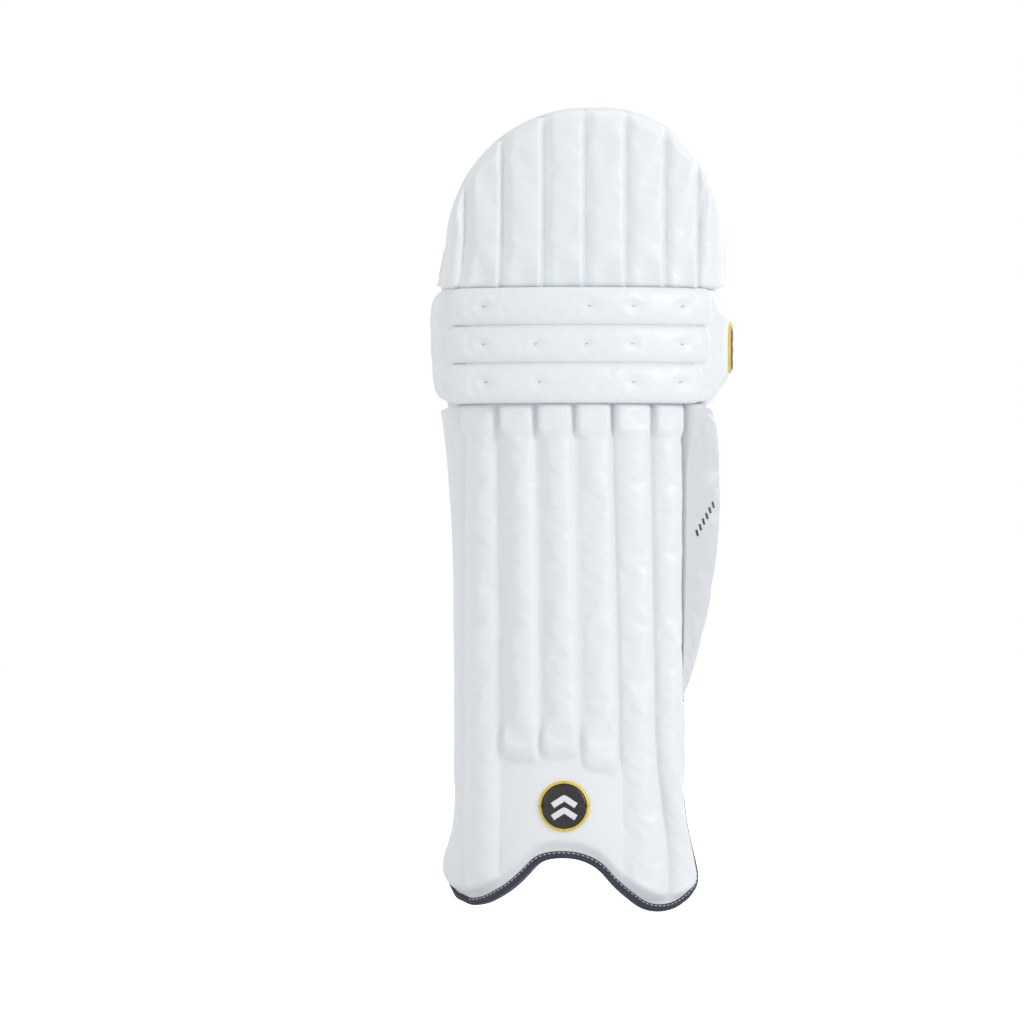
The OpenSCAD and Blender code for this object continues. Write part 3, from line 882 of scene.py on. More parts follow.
def make_stage():
    """Camera at the photograph's angle, a pale floor and soft studio light."""
    scene = bpy.context.scene
    scene.view_settings.view_transform = "Standard"
    view_width, distance, centre_x = 0.9337, 6.0, -0.066
    low, high = CAD_BOX
    data = bpy.data.cameras.new("camera")
    data.sensor_width = 36.0
    data.lens = 36.0 * (distance + low.y) / view_width
    camera = bpy.data.objects.new("camera", data)
    camera.location = (centre_x, -distance, (low.z + high.z) / 2 - 0.003)
    camera.rotation_euler = (math.radians(90), 0, 0)
    scene.collection.objects.link(camera)
    scene.camera = camera

    paint = Nodes("floor_paint", rough=0.9)
    where = paint.place()
    tone = paint.mix(paint.noise(where, 3.0), (0.80, 0.80, 0.81), (0.83, 0.83, 0.835))
    paint.shader.inputs["Emission Color"].default_value = (1, 1, 1, 1)
    seen = paint.add("ShaderNodeLightPath")
    paint.put(paint.shader.inputs["Emission Strength"], paint.math("MULTIPLY", seen, 0.85))
    paint.finish(tone, paint.bump(paint.noise(where, 90.0), 0.0003, 0.2))
    n, reach = 24, 9000.0
    xs = np.linspace(-reach, reach, n)
    grid = np.array([[(x, y, -1.0) for x in xs] for y in xs])
    mesh_object("floor", grid.reshape(-1, 3), grid_faces(n, n), paint.mat)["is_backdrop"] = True

    world = bpy.data.worlds.new("studio")
    world.use_nodes = True
    scene.world = world
    tree = world.node_tree
    back = tree.nodes["Background"]
    back.inputs["Color"].default_value = (0.99, 0.99, 0.99, 1)
    back.inputs["Strength"].default_value = 0.735
    white = tree.nodes.new("ShaderNodeBackground")
    white.inputs["Color"].default_value = (1, 1, 1, 1)
    white.inputs["Strength"].default_value = 1.0
    rays = tree.nodes.new("ShaderNodeLightPath")
    mixer = tree.nodes.new("ShaderNodeMixShader")
    tree.links.new(rays.outputs["Is Camera Ray"], mixer.inputs[0])
    tree.links.new(back.outputs[0], mixer.inputs[1])
    tree.links.new(white.outputs[0], mixer.inputs[2])
    tree.links.new(mixer.outputs[0], tree.nodes["World Output"].inputs["Surface"])

    middle = Vector((0, 0, 0.37))
    for name, at, size, power in (
            ("key", (2.7, -2.7, 1.7), 1.1, 46), ("fill", (-2.6, -2.6, 0.9), 2.2, 14),
            ("top", (0.2, 0.1, 3.2), 1.8, 12), ("rear_key", (2.4, 2.9, 1.7), 1.1, 40),
            ("rear_fill", (-2.6, 2.2, 0.9), 2.2, 5)):
        lamp = bpy.data.lights.new(name, "AREA")
        lamp.size, lamp.energy = size, power
        light = bpy.data.objects.new(name, lamp)
        light.location = at
        light.rotation_euler = (middle - Vector(at)).to_track_quat("-Z", "Y").to_euler()
        scene.collection.objects.link(light)


make_stage()

# ---------------------------------------------------------------- shin face


def face_left(z):
    """How far the inner edge stands out from the axis at height z."""
    flare = 9 * ramp(z, 300, 467) ** 1.4 + 1.5 * ramp(z, 445, 467) ** 2
    return 118.5 + flare + 9.5 * np.exp(-((z - 38) / 30) ** 2)


# The outer free edge over the foot and above it: how far out, and the height
OUTER_EDGE = spline([(90, -6), (98.4, 8.2), (105.2, 18.4), (107.4, 30.4), (104.4, 47), (98.6, 71),
                     (94.9, 95), (92.6, 125), (92.2, 160), (92.2, 480)], 6)


def face_right(z):
    """How far the outer free edge stands out; above the foot it meets the wing."""
    return np.interp(z, OUTER_EDGE[:, 1], OUTER_EDGE[:, 0])


def outer_turn(last, z):
    """Radius and end angle of the outer side's turn, beyond the last seam at arc length last.
    Over the foot it stops before it faces sideways, so that its bound edge shows."""
    a = last / SEAM_R
    foot = smooth(z, 128, 104)
    end = lerp(math.pi / 2, math.radians(62), foot)
    reach = face_right(z) + lerp(-1.4, 2.6, foot)
    return np.maximum((reach - SEAM_R * np.sin(a)) / (np.sin(end) - np.sin(a)), 3.0), end


def seam_x(i, z):
    """X of shin seam i at height z; the outer seams flare over the foot."""
    upper = np.interp(z, [SHIN_MID_Z, SHIN_TOP], [SEAMS_MID[i], SEAMS_TOP[i]])
    down = smooth(z, SHIN_MID_Z - 20, SHIN_FOOT_Z) if i < 6 else smooth(z, 110, SHIN_FOOT_Z)
    return lerp(upper, SEAMS_FOOT[i], down)


def shin_plan(s, last, z):
    """Point and outward normal on the seam surface at arc length s (mm, 0 at the front).
    last is the arc length of the last seam, where the outer side turns back."""
    first = SEAM_R * math.asin(SEAMS_MID[0] / SEAM_R)
    inner_turn, inner_reach = 34.0, 116.6
    outer_turn_r, outer_end = outer_turn(last, z)
    a = np.clip(s, first, last) / SEAM_R
    p = ring(SHIN_CY, SEAM_R, a)
    head = a.copy()
    for over, sign, radius, stop in ((np.maximum(s - last, 0), 1, outer_turn_r, outer_end),
                                     (np.maximum(first - s, 0), -1, inner_turn, math.pi / 2)):
        left = stop - np.abs(a)
        turned = np.minimum(over / radius, left)
        straight = np.maximum(over - left * radius, 0)
        start, end = head, head + sign * turned
        moved = np.stack([np.sin(end) - np.sin(start), np.cos(start) - np.cos(end)], -1)
        along = np.stack([np.cos(end) * sign, np.sin(end) * sign], -1)
        step = moved * (radius + 0 * s)[..., None] + along * straight[..., None]
        p = p + np.where(over[..., None] > 0, step, 0)
        head = end
    normal = np.stack([np.sin(head), -np.cos(head)], -1)
    wide = (face_left(z) - 3.6 + SEAMS_MID[0]) / (inner_reach + SEAMS_MID[0])
    p[..., 0] += np.minimum(p[..., 0] - SEAMS_MID[0], 0) * (wide - 1)
    return p, normal


# The lower edge of the face, from the inner side round both feet: x and height
FOOT_LINE = spline([(-142, 75), (-129, 34), (-123, 18), (-117.6, 8.2), (-109, 5.2), (-99.6, 6.4), (-90, 9.8),
                    (-71.5, 20.8), (-56.6, 33.7), (-45.6, 44.8), (-34.8, 49.5), (-20.2, 50.8), (-5.6, 49.4),
                    (9.0, 43.8), (19.8, 35.3), (29.2, 25.1), (42.3, 14.2), (57.3, 4.1), (70.6, 1.0),
                    (85, 2.6), (97.4, 9.6), (104.4, 19.0), (107, 32), (112, 80)], 6)


def foot_z(x):
    """Height of the lower edge at x."""
    return np.interp(x, FOOT_LINE[:, 0], FOOT_LINE[:, 1])


def make_shin_face():
    """Face of the shin: canes, plain instep and both turned edges, as one stuffed cover."""
    v = spread(150, 0.25)[:, None]
    columns = [(-1, t) for t in spread(10, 0.3)[:-1]]
    columns += [(cane, t) for cane in range(6) for t in spread(14, 0.6)[:-1]]
    columns += [(6, t) for t in spread(8, 0.2)]
    cane, t = (np.array(values)[None, :] for values in zip(*columns))
    shape = (len(v), len(columns))

    def plan_at(z):
        """Arc length of every column at these heights, and that of the last seam."""
        seams = np.stack([SEAM_R * np.arcsin(seam_x(i, z) / SEAM_R) for i in range(7)], -1)
        c = np.clip(cane, 0, 5) + np.zeros(z.shape, int)
        low = np.take_along_axis(seams, c[..., None], -1)[..., 0]
        high = np.take_along_axis(seams, c[..., None] + 1, -1)[..., 0]
        s = lerp(low, high, t)
        s = np.where(cane == -1, seams[..., 0] - 46.0 * (1 - t), s)
        last = seams[..., 6]
        radius, end = outer_turn(last, z)
        length = radius * (end - last / SEAM_R) + lerp(0.3, 12.0, smooth(z, 112, 175))
        s = np.where(cane == 6, last + length * t, s)
        return s, last

    # The height of the lower edge depends on where each column stands there, so it is settled
    # in a few rounds
    z = np.full(shape, SHIN_FOOT_Z)
    for k in range(6):
        s, last = plan_at(z)
        low = foot_z(shin_plan(s, last, z)[0][..., 0])
        low = np.where(cane == -1, np.maximum(low, foot_z(-118.0) + 20 * (1 - t) ** 3), low)
        low = np.where(cane == 6, foot_z(98.0) + 12 * t ** 1.5, low)
        z = lerp(z, low, 0.85) if k < 5 else low
    low = z[:1]
    z = lerp(low, SHIN_TOP + 0.6, v)
    s, last = plan_at(z)
    p, n = shin_plan(s, last, z)

    # How high the stuffing stands off the seam surface, fuller in the caps and at the ends
    cane_t = np.where(cane == -1, 0.5 + 0.5 * t, np.where(cane == 6, 0.5 * (1 - t) + 0.5, t))
    side = (cane == -1) | (cane == 6)
    round_side = np.where(cane == -1, smooth(t, 0.0, 0.35) * (1 - smooth(t, 0.72, 1.0)), 0)
    cap_z = SHIN_TOP - 29
    cap = smooth(z, cap_z - 5, cap_z + 6)
    skew = cane_t ** 1.28
    ends = smooth(z, 185, 155) * ((cane >= 1) & (cane <= 3))
    full = np.maximum(cap, ends)
    height = 10.3 * lerp(crown(skew, 2.3, 0.72), crown(cane_t, 5.0, 0.5), full) * lerp(1.0, 0.82, ends)
    height = np.where(side, 4.0 * round_side, height)
    top = SHIN_TOP - z
    height = height * (1 + 0.10 * cap) - 0.3 * bump(z, cap_z, 8.0) * (~side)
    seam_near = np.where(side, 0, np.maximum(bump(cane_t, 0, 0.10), bump(cane_t, 1, 0.10)))
    narrow = np.where(side, 0, np.maximum(bump(cane_t, 0, 0.045), bump(cane_t, 1, 0.045)))
    height -= 5.0 * narrow * np.maximum(cap, 0.7 * ends) + 1.2 * narrow
    height = lerp(-1.5, height, quarter((top + 2.5) / 9))

    # The three middle canes end above the plain instep
    mid = (cane >= 1) & (cane <= 3)
    end_z = np.select([cane == 1, cane == 2, cane == 3], [135.0, 139.0, 131.0], -100.0)
    end_z = end_z + 7 * np.abs(2 * cane_t - 1) ** 8 + np.select(
        [cane == 1, cane == 2, cane == 3], [6 * (1 - cane_t), 3 * cane_t, -5 * cane_t], 0.0)
    kept = quarter((z - end_z) / 16)
    plain = 2.6 + 1.2 * bump((z - foot_z(p[..., 0])) / 40, 1.0, 0.8)
    height = np.where(mid, np.maximum(height * kept, plain), height)
    join = np.where(cane == 0, t, np.where(cane == 4, 1 - t, 0))
    near_plain = smooth(z, 145, 125) * smooth(join, 0.86, 1.0)
    height = np.maximum(height, plain * near_plain)
    low_canes = (cane == 0) | (cane == 4) | (cane == 5)
    height = np.where(low_canes, height * lerp(1.0, 0.80, smooth(z, 120, 20)) + 0.4, height)

    # The free edges are pinched flat under their binding
    side_edge = np.where(z < 135, np.where(cane == 6, 1 - t, np.where(cane == -1, t, 1.0)) * 24, 40)
    edge = np.minimum(z - low, lerp(40, side_edge + 1.0, smooth(z, 135, 112)))
    pinch = smooth(edge, 19, 6.0)
    soft = 0.35 * ripple(s, z, 26, 1.3) + 0.25 * ripple(s, z, 11, 4.1)
    height += soft * (1 - pinch)
    height = lerp(height, np.where(cane == -1, lerp(-0.5, -5.0, smooth(t, 0.5, 1.0)), -5.0), pinch ** 1.5)
    thick = lerp(24.0, 8.0, np.where(side, np.where(cane == -1, 1 - t, t), 0) ** 0.6)
    thick = lerp(thick, 12.0, pinch)
    front = np.concatenate([p + n * height[..., None], z[..., None]], -1)
    behind = np.concatenate([p - n * thick[..., None], z[..., None]], -1)
    obj = slab("shin_face", front, behind, LEATHER, rounds=2)
    free = (1 - np.where(side, 0.55, seam_near)) * (1 - pinch) * smooth(top, 2, 10)
    swell(obj, np.where(mid & (z < end_z + 8), 0.25 * free, free), 2.2, slack=-0.015)
    return obj, front, behind


# ---------------------------------------------------------------- thigh flap

DOME_X, DOME_R = 2.0, 129.0
DOME_Z = PAD_TOP - 2 - DOME_R
SHOULDER_X, SHOULDER_R = 19.0, 106.0
SHOULDER_Z = PAD_TOP - 2 - SHOULDER_R


def dome_top(x, inset=0.0):
    """Height of the thigh outline at x: a dome with a fuller outer shoulder."""
    x = np.asarray(x, float)
    main = DOME_Z + np.sqrt(np.maximum((DOME_R - inset) ** 2 - (x - DOME_X) ** 2, 0))
    shoulder = SHOULDER_Z + np.sqrt(np.maximum((SHOULDER_R - inset) ** 2 - (x - SHOULDER_X) ** 2, 0))
    return np.where(np.abs(x - SHOULDER_X) < SHOULDER_R - inset, np.maximum(main, shoulder), main)


def thigh_left(z):
    """How far the flap's inner edge stands out below the dome."""
    return DOME_R - DOME_X + 9.5 * ramp(z, DOME_Z + 20, THIGH_LOW) ** 1.7


def make_thigh_face():
    """Face of the thigh flap: eight stuffed sections under one dome."""
    left, right = DOME_X - DOME_R + 0.6, DOME_X + DOME_R - 0.6
    bounds_x = [left] + THIGH_SEAMS + [right]
    columns = [(c, t) for c in range(8) for t in spread(12, 0.6)[:-1]] + [(7, 1.0)]
    c, t = (np.array(values)[None, :] for values in zip(*columns))
    x_seam = lerp(np.take(bounds_x, c), np.take(bounds_x, c + 1), t)
    v = spread(60, 0.45)[:, None]
    scallop = 3.2 * (np.maximum(bump(t, 0, 0.14), bump(t, 1, 0.14)))
    z = lerp(KNEE_HIGH - 0.3, dome_top(x_seam) - scallop, v)
    spreading = np.clip(-x_seam / 127.0, 0, 1) ** 3 * (thigh_left(z) - 127.0)
    x = x_seam - spreading
    outer = (c == 0) & (t < 0.5) | (c == 7) & (t > 0.5)
    lean = smooth(t, -0.03, 0.32) * (1 + 0.22 * smooth(t, 0.35, 0.93))
    lean = lean * np.sqrt(np.clip(1 - (np.maximum(t - 0.92, 0) / 0.08) ** 2, 0, 1))
    height = 7.0 * np.where((c == 0) | (c == 7), crown(t, 2.2, 0.85), lean) + 0 * z
    low = smooth(z, THIGH_LOW + 40, THIGH_LOW + 3)
    wide = np.maximum(bump(t, 0, 0.22), bump(t, 1, 0.22)) * (~outer)
    height += 2.6 * low * wide - 1.6 * low * bump(t, 0.5, 0.3)
    rim = dome_top(x_seam) - z
    side = np.where(c == 0, t, np.where(c == 7, 1 - t, 1.0)) * 22
    edge = np.minimum(rim, side + 200 * smooth(np.minimum(side, 22), 20, 22))
    puff = quarter(edge / 15)
    height = lerp(-11.0, height, puff) - 4.0 * (1 - quarter((z - THIGH_LOW + 1) / 5))
    height += (0.4 * ripple(x, z, 24, 2.2) + 0.25 * ripple(x, z, 10, 0.7)) * puff
    front = on_ring(THIGH_CY, THIGH_SEAM_R + height, x, z)
    behind = on_ring(THIGH_CY, 231.0 + 5.0 * (1 - puff), x * 0.992, z)
    obj = slab("thigh_face", front, behind, LEATHER, rounds=2)
    seam_near = np.maximum(bump(t, 0, 0.08), bump(t, 1, 0.08))
    free = (1 - seam_near) * smooth(edge, 3, 14) * smooth(z - THIGH_LOW, 2, 12)
    swell(obj, free, 1.8, slack=-0.012)
    return obj


def make_thigh_lining():
    """Printed lining, a little smaller than the face at its lower sides."""
    u, v = stations(64, 0.3, 44, 0.4)
    u = 2 * u - 1
    half = DOME_R - 1.5
    x_top = DOME_X + u * half
    top = dome_top(x_top, 1.5)
    z = lerp(THIGH_LOW - 1.5, np.maximum(top, THIGH_LOW + 26), v)
    inset = 9 * smooth(z, THIGH_LOW + 85, THIGH_LOW)
    x = DOME_X + u * (half - inset * np.abs(u))
    x = x - np.clip(-u, 0, 1) ** 3 * (thigh_left(z) - 127.0)
    edge = np.minimum((1 - np.abs(u)) * half, (1 - v) * (top - THIGH_LOW))
    puff = quarter(edge / 12) * quarter((z - THIGH_LOW + 2) / 8)
    groove = bump(edge, 9.0, 2.6)
    rear = 224.9 - 5.6 * puff + 1.2 * groove - 0.6 * ripple(x, z, 30, 3.0) * puff
    a = np.arcsin(x / 240)
    obj = slab("thigh_lining", upright(THIGH_CY, rear, a, z), upright(THIGH_CY, 231.5, a, z), THIGH_PRINT)
    free = smooth(edge, 6, 20) * smooth(z - THIGH_LOW, 3, 14) * (1 - 0.9 * groove)
    swell(obj, free, 2.5, pressure=1.5)
    return obj


def make_thigh_piping():
    """Rolled edge between the face and the lining."""
    rim = DOME_R - 1.7
    x = DOME_X + rim * np.cos(np.radians(np.linspace(0, 180, 140)))
    z = dome_top(x, 1.7)
    down = np.linspace(DOME_Z - 3, THIGH_LOW + 8, 9)
    x = np.concatenate([np.full(9, DOME_X + rim), x[1:-1], 1.7 - thigh_left(down)])
    z = np.concatenate([down[::-1], z[1:-1], down])
    points, faces = tube_mesh(on_ring(THIGH_CY, 233.0, x, z), 2.1, 10)
    obj = mesh_object("thigh_edge_piping", points, faces, LINING_WHITE)
    fix_normals(obj)
    return obj


# ---------------------------------------------------------------- knee rolls and wings


def make_roll(k):
    """Knee roll k (0 at the top): a stuffed sausage, flattened, with tufts sewn through it."""
    low = KNEE_HIGH - (k + 1) * ROLL_PITCH
    u, v = stations(96, 0.35, 26, 0.5)
    x0, x1 = [(-120, 114.5), (-123, 113.5), (-122.5, 106.5)][k]
    end_r, middle_r, face_r, back_r, corner = 183, 190, 187.6, 167.0, 11.0
    a0, a1 = math.asin(x0 / end_r), math.asin(x1 / end_r)
    a = lerp(a0, a1, u)
    end = np.minimum(u, 1 - u) * (a1 - a0) * middle_r
    half = ROLL_PITCH / 2 + 0.25
    height_at = half - corner + corner * quarter(end / corner)
    overhang = 1.8 * (k == 2)
    z = low + ROLL_PITCH / 2 + (2 * v - 1) * height_at - overhang * (1 - v)
    up = np.clip(np.abs(2 * v - 1), 0, 1)
    bulge = (1 - up ** 4.2) ** 0.6
    taper = quarter(end / 9)
    out = face_r + 6.4 * bulge * lerp(0.15, 1.0, taper) - 6.0 * (1 - taper)
    tufts = [[-92, 5, 45, 90], [-92, -44, 2, 44, 90], [-90, -41, 45, 88]][k]
    x = middle_r * np.sin(a)
    dimple = sum(bump(np.hypot((x - tx) * 0.8, (v - 0.5) * ROLL_PITCH), 0, 4.2) for tx in tufts)
    out = out - 1.9 * dimple + 0.6 * ripple(x, z, 23, 0.9 + k) * taper * bulge
    back = back_r - 5.0 * (1 - up ** 2.6) ** 0.58 * lerp(0.5, 1, taper)
    front, behind = (upright(KNEE_CY, r, a + 0 * v, z) for r in (out, back))
    obj = slab(f"knee_roll_{k + 1}", front, behind, LEATHER, rounds=2)
    swell(obj, bulge * taper * (1 - np.clip(dimple * 1.6, 0, 1)), 0.8, slack=-0.006)
    return obj, tufts, low + ROLL_PITCH / 2


def ring_pad(name, cy, r_rear, r_front, x0, x1, z0, z1, material, puff, edge, seed,
             rows=26, cols=30, limit=None, corner=0.0, swell_cap=3.0):
    """A pad inside the pad's curve, seen from the rear: its rear face swells towards the leg
    and its edges pull in. limit cuts it off at that Y; corner rounds its outline."""
    u, v = stations(cols, 0.45, rows, 0.45)

    def angle(x, r):
        x = np.clip(x, -r * 0.985, r * 0.985)
        a = np.arcsin(x / r)
        if limit is None:
            return a
        most = math.acos(max(-1, min(1, (cy - limit) / r)))
        return np.clip(a, -most, most)

    dx = np.minimum(u, 1 - u) * (x1 - x0)
    shrink = corner - np.sqrt(np.maximum(corner ** 2 - (corner - np.minimum(dx, corner)) ** 2, 0))
    tall = lerp(z0 + shrink, z1 - shrink, v)
    a_rear = lerp(angle(x0, r_rear), angle(x1, r_rear), u) + 0 * v
    a_front = lerp(angle(x0, r_front), angle(x1, r_front), u) + 0 * v
    run_u = np.abs(angle(x1, r_rear) - angle(x0, r_rear)) * r_rear
    lift = quarter(np.minimum(u, 1 - u) * run_u / edge) * quarter(np.minimum(v, 1 - v) * (z1 - z0) / edge)
    body = 0.5 + 0.5 * np.sin(math.pi * u) ** 0.8
    rear = r_rear + puff * (1 - lift) + puff * 0.8 * (1 - body)
    rear = rear - 0.5 * ripple(lerp(x0, x1, u), tall, 21, seed) * lift
    behind = upright(cy, rear, a_rear, tall)
    front = upright(cy, r_front - 1.0 * (1 - lift), a_front, tall)
    obj = slab(name, behind, front, material)
    swell(obj, np.clip(lift * 1.1 - 0.1, 0, 1), swell_cap)
    return obj


def make_knee_wing(name, side):
    """Side of the knee section: a smooth stuffed crescent beyond the ends of the rolls."""
    u, v = stations(30, 0.35, 40, 0.4)
    z = lerp(KNEE_LOW - 0.6, KNEE_HIGH + 0.6, v) + 0 * u
    if side > 0:
        line = spline([(119, 464), (127, 474), (133, 484), (136.3, 500), (136.6, 522), (136.6, 540),
                       (136.3, 552), (129.5, 566), (126, 576)], 8)
        start = 105.0
    else:
        line = spline([(137, 464), (138.5, 482), (140, 505), (141.5, 530), (141.5, 552), (140, 578)], 8)
        start = 108.0
    reach = np.interp(z, line[:, 1], line[:, 0])
    a = np.pi / 2 * u ** 0.9
    x = start + (reach - start) * np.sin(a) ** 0.7
    y = np.minimum(-56.0 + 66.0 * (1 - np.cos(a)) + 10 * u, 20) + 0 * z
    closing = smooth(v, 0, 0.10) * smooth(1 - v, 0, 0.10)
    gap = np.maximum((y - FOLD_Y) * SIDE_SLOPE, 0)
    squeeze = (z - (KNEE_LOW + KNEE_HIGH) / 2) / ((KNEE_HIGH - KNEE_LOW) / 2)
    z = z - np.sign(squeeze) * np.abs(squeeze) ** 3 * gap * 0.9
    x = x - 2.0 * (1 - np.sqrt(closing)) * (side > 0)
    front = np.stack([side * x, y, z], -1)
    inner_x = np.maximum(x - lerp(10.0, 20.0, u), 100)
    inner_y = np.minimum(y + lerp(20.0, 0.0, u), 19)
    behind = np.stack([side * inner_x, inner_y, z], -1)
    obj = slab(name, front, behind, LEATHER, rounds=2)
    swell(obj, closing * smooth(u, 0.02, 0.2) * smooth(1 - u, 0.0, 0.2), 2.5)
    return obj


def make_knee_backing():
    """Cloth-covered backing behind the rolls; it shows between them and at their ends."""
    u, v = stations(48, 0.2, 16, 0.5)
    a = lerp(math.asin(-112 / 160), math.asin(113 / 160), u) + 0 * v
    z = lerp(KNEE_LOW + 0.6, KNEE_HIGH - 0.6, v) + 0 * u
    raised = 26.0 * smooth(np.minimum(u, 1 - u), 0.05, 0.10) * smooth(np.minimum(v, 1 - v), 0.0, 0.06)
    front = upright(KNEE_CY, 163.0 + raised, a, z)
    return slab("knee_backing", front, upright(KNEE_CY, 153.4, a, z), LEATHER)


# ---------------------------------------------------------------- calf wing and side walls


def make_calf_wing():
    """Wing on the outer edge of the calf, tapering down the leg; near the knee its front
    is flat before it turns back."""
    u, v = stations(44, 0.25, 80, 0.4)
    z0, z1 = node_box("calf_wing")[0][2] + 1, node_box("calf_wing")[1][2] - 0.2
    z = lerp(z0, z1, v) + 0 * u
    taper = 561 - np.sqrt(561 ** 2 - (z - 388) ** 2)
    widest = 125.6 - taper
    start_x, start_y = 89.8, -57.5
    width = np.maximum(widest - start_x, 1.5)
    flat = np.maximum(np.minimum(24 * smooth(z, 395, 468), width - 3) * smooth(z, 300, 330), 0)
    y_rear = 25.0 - 0.21 * np.maximum(z - 380, 0) - 24 * smooth(z, 285, z0) ** 2

    # Across the wing: a flat front, a turn to the side, the side, and a turned rear edge
    turned, straight = 0.62, 0.78
    k = ramp(u, 0, turned)
    share = flat / (flat + 70.0)
    flat_k = np.clip(k / np.maximum(share, 1e-6), 0, 1) * (share > 0)
    turn_k = ramp(k, share, 1)
    angle = turn_k * math.pi / 2
    x = start_x + flat * flat_k + (width - flat) * np.sin(angle)
    y = start_y + 2.0 * flat_k * (flat / 24) + 56.0 * (1 - np.cos(angle)) + 4 * turn_k
    side_end = y_rear - 8
    y = np.where(u > turned, lerp(start_y + 62.0, side_end, ramp(u, turned, straight)), y)
    rear_turn = ramp(u, straight, 1) * math.pi / 2
    round_x = np.maximum(width - 1.0, 0.5)
    x = np.where(u > straight, start_x + width - round_x * (1 - np.cos(rear_turn)), x)
    y = np.where(u > straight, side_end + 8 * np.sin(rear_turn) ** 0.7, y)

    y = y - 4.5 * smooth(u, 0, 0.05) * bump(u, 0.06, 0.07) * smooth(width, 2, 14)
    end = smooth(1 - v, 0, 0.02)
    x = x - (1 - end) * np.minimum(2.0, width * 0.5) - 0.8 * bump(u, 0.77, 0.02)
    x = x + 0.5 * ripple(y, z, 33, 2.0) * smooth(u, 0.1, 0.4)
    z = z - np.maximum((y - FOLD_Y) * SIDE_SLOPE, 0) * smooth(z, 400, 468)
    front = np.stack([x, y, z], -1)
    inner_y = lerp(start_y + 6.0, y_rear - 0.5, u ** 1.1) + 0 * z
    behind = np.stack([np.minimum(91.0, x - 0.2), np.minimum(inner_y, y_rear), z], -1)
    # Its leather is the darker copy of the face's white, painted shade.
    obj = slab("calf_wing", front, behind, SHADED_WING)
    free = smooth(v, 0, 0.03) * end * smooth(u, 0.02, 0.2) * (1 - smooth(u, 0.70, 0.78))
    swell(obj, free, 2.0, pressure=1.5)
    return obj


def make_side_wall(name, side, x_in, x_out, y0, z0, z1, y_rear):
    """Upright padded wall between the face's edge and the straps: a side, a turn and a rear.
    It stands out as far as x_out, or just short of the face's inner edge."""
    u, v = stations(30, 0.2, max(20, int((z1 - z0) / 6)), 0.35)
    z = lerp(z0, z1, v) + 0 * u
    turn, rear, r = 0.5, 0.72, 9.0
    side_k, turned, rear_k = ramp(u, 0, turn), ramp(u, turn, rear) * math.pi / 2, ramp(u, rear, 1)
    wide = x_out or face_left(z) - 0.8
    x = wide - r * (1 - np.cos(turned))
    x = lerp(x, x_in + 1.0, rear_k)
    y = np.where(u <= turn, lerp(y0, y_rear - r, side_k), y_rear - r + r * np.sin(turned)) + 0 * z
    end = smooth(v, 0, 0.03) * smooth(1 - v, 0, 0.02)
    x = x + 1.2 * np.sin(math.pi * side_k) * (u < turn) * end - 1.5 * (1 - end)
    y = y - 2.0 * (1 - end) * (u > turn) + 0.8 * np.sin(math.pi * rear_k)
    z = z - np.maximum((y - FOLD_Y) * SIDE_SLOPE, 0) * smooth(z, z1 - 75, z1)
    front = np.stack([side * x, y, z], -1)
    inner_y = lerp(y0, y_rear - 0.5, u) + 0 * z
    behind = np.stack([side * np.minimum(x_in, x - 0.5), np.minimum(inner_y, y), z], -1)
    obj = slab(name, front, behind, LINING_WHITE)
    free = end * smooth(u, 0.05, 0.25) * (1 - bump(u, 0.72, 0.05))
    swell(obj, free, 1.2, pressure=1.2, slack=-0.015)
    return obj


# ---------------------------------------------------------------- foot


def make_instep_lining():
    """White lining behind the foot, with two sewn ribs on its outer side."""
    u, v = stations(70, 0.3, 44, 0.3)
    top = node_box("instep_lining")[1][2] + 14
    x_foot = lerp(-112.0, 95.5, u)
    z = lerp(foot_z(x_foot) + 3.5, top, v)
    w = 2 * u - 1
    rise = smooth(z - foot_z(x_foot), 0, 26)
    x = x_foot + rise * np.where(w < 0, -(face_left(z) - 123.0), face_right(z) - 105.0) * w ** 4
    a = np.arcsin(np.clip(x / 134, -0.93, 0.93))
    pinch = smooth(z - foot_z(x), 24, 0)
    side = smooth(np.minimum(u, 1 - u) * 210, 13, 0.0) * smooth(z, 135, 110)
    rear = 113.0 + 1.2 * ripple(x, z, 28, 5.0)
    for lean, at in ((14.0, 72.0), (5.0, 44.0)):
        line = at + lean * smooth(z, 110, 10)
        rear = rear + 2.6 * bump(x, line, 2.0) - 0.9 * bump(x, line, 9.0)
    rear = lerp(rear, 131.0, np.maximum(pinch, side))
    front_r = lerp(121.2, 134.5, np.maximum(pinch, 0.9 * side))
    return slab("instep_lining", upright(SHIN_CY, rear, a, z), upright(SHIN_CY, front_r, a, z), LINING_WHITE)


def binding_path(front, behind):
    """The bound edge of the shin face: its middle line, the direction through its
    thickness and the direction out of the pad, from the inner side round both feet
    and up the outer side."""
    deep = unit(front - behind)
    mid = (front + behind) / 2 - deep * 1.2
    inner = [j for j in range(len(mid)) if mid[j, 0, 2] < 108][::-1]
    outer = [j for j in range(len(mid)) if mid[j, -1, 2] < 121]
    spots = [(j, 0) for j in inner] + [(0, i) for i in range(1, mid.shape[1] - 1)] + [(j, -1) for j in outer]
    path, through = (np.array([grid[s] for s in spots]) for grid in (mid, deep))
    run = run_of(path)
    at = np.linspace(0, run[-1], 260)
    path, through = (np.stack([np.interp(at, run, line[:, k]) for k in range(3)], -1)
                     for line in (path, through))
    kernel = np.array([1, 2, 3, 2, 1]) / 9.0
    for _ in range(2):
        for rows in (path, through):
            for k in range(3):
                padded = np.pad(rows[:, k], 2, mode="edge")
                rows[2:-2, k] = np.convolve(padded, kernel, "valid")[2:-2]
    through = unit(through)
    along = unit(np.gradient(path, axis=0))
    out = unit(np.cross(along, through))
    if out[len(out) // 2, 2] > 0:
        out = -out
    return path, through, out


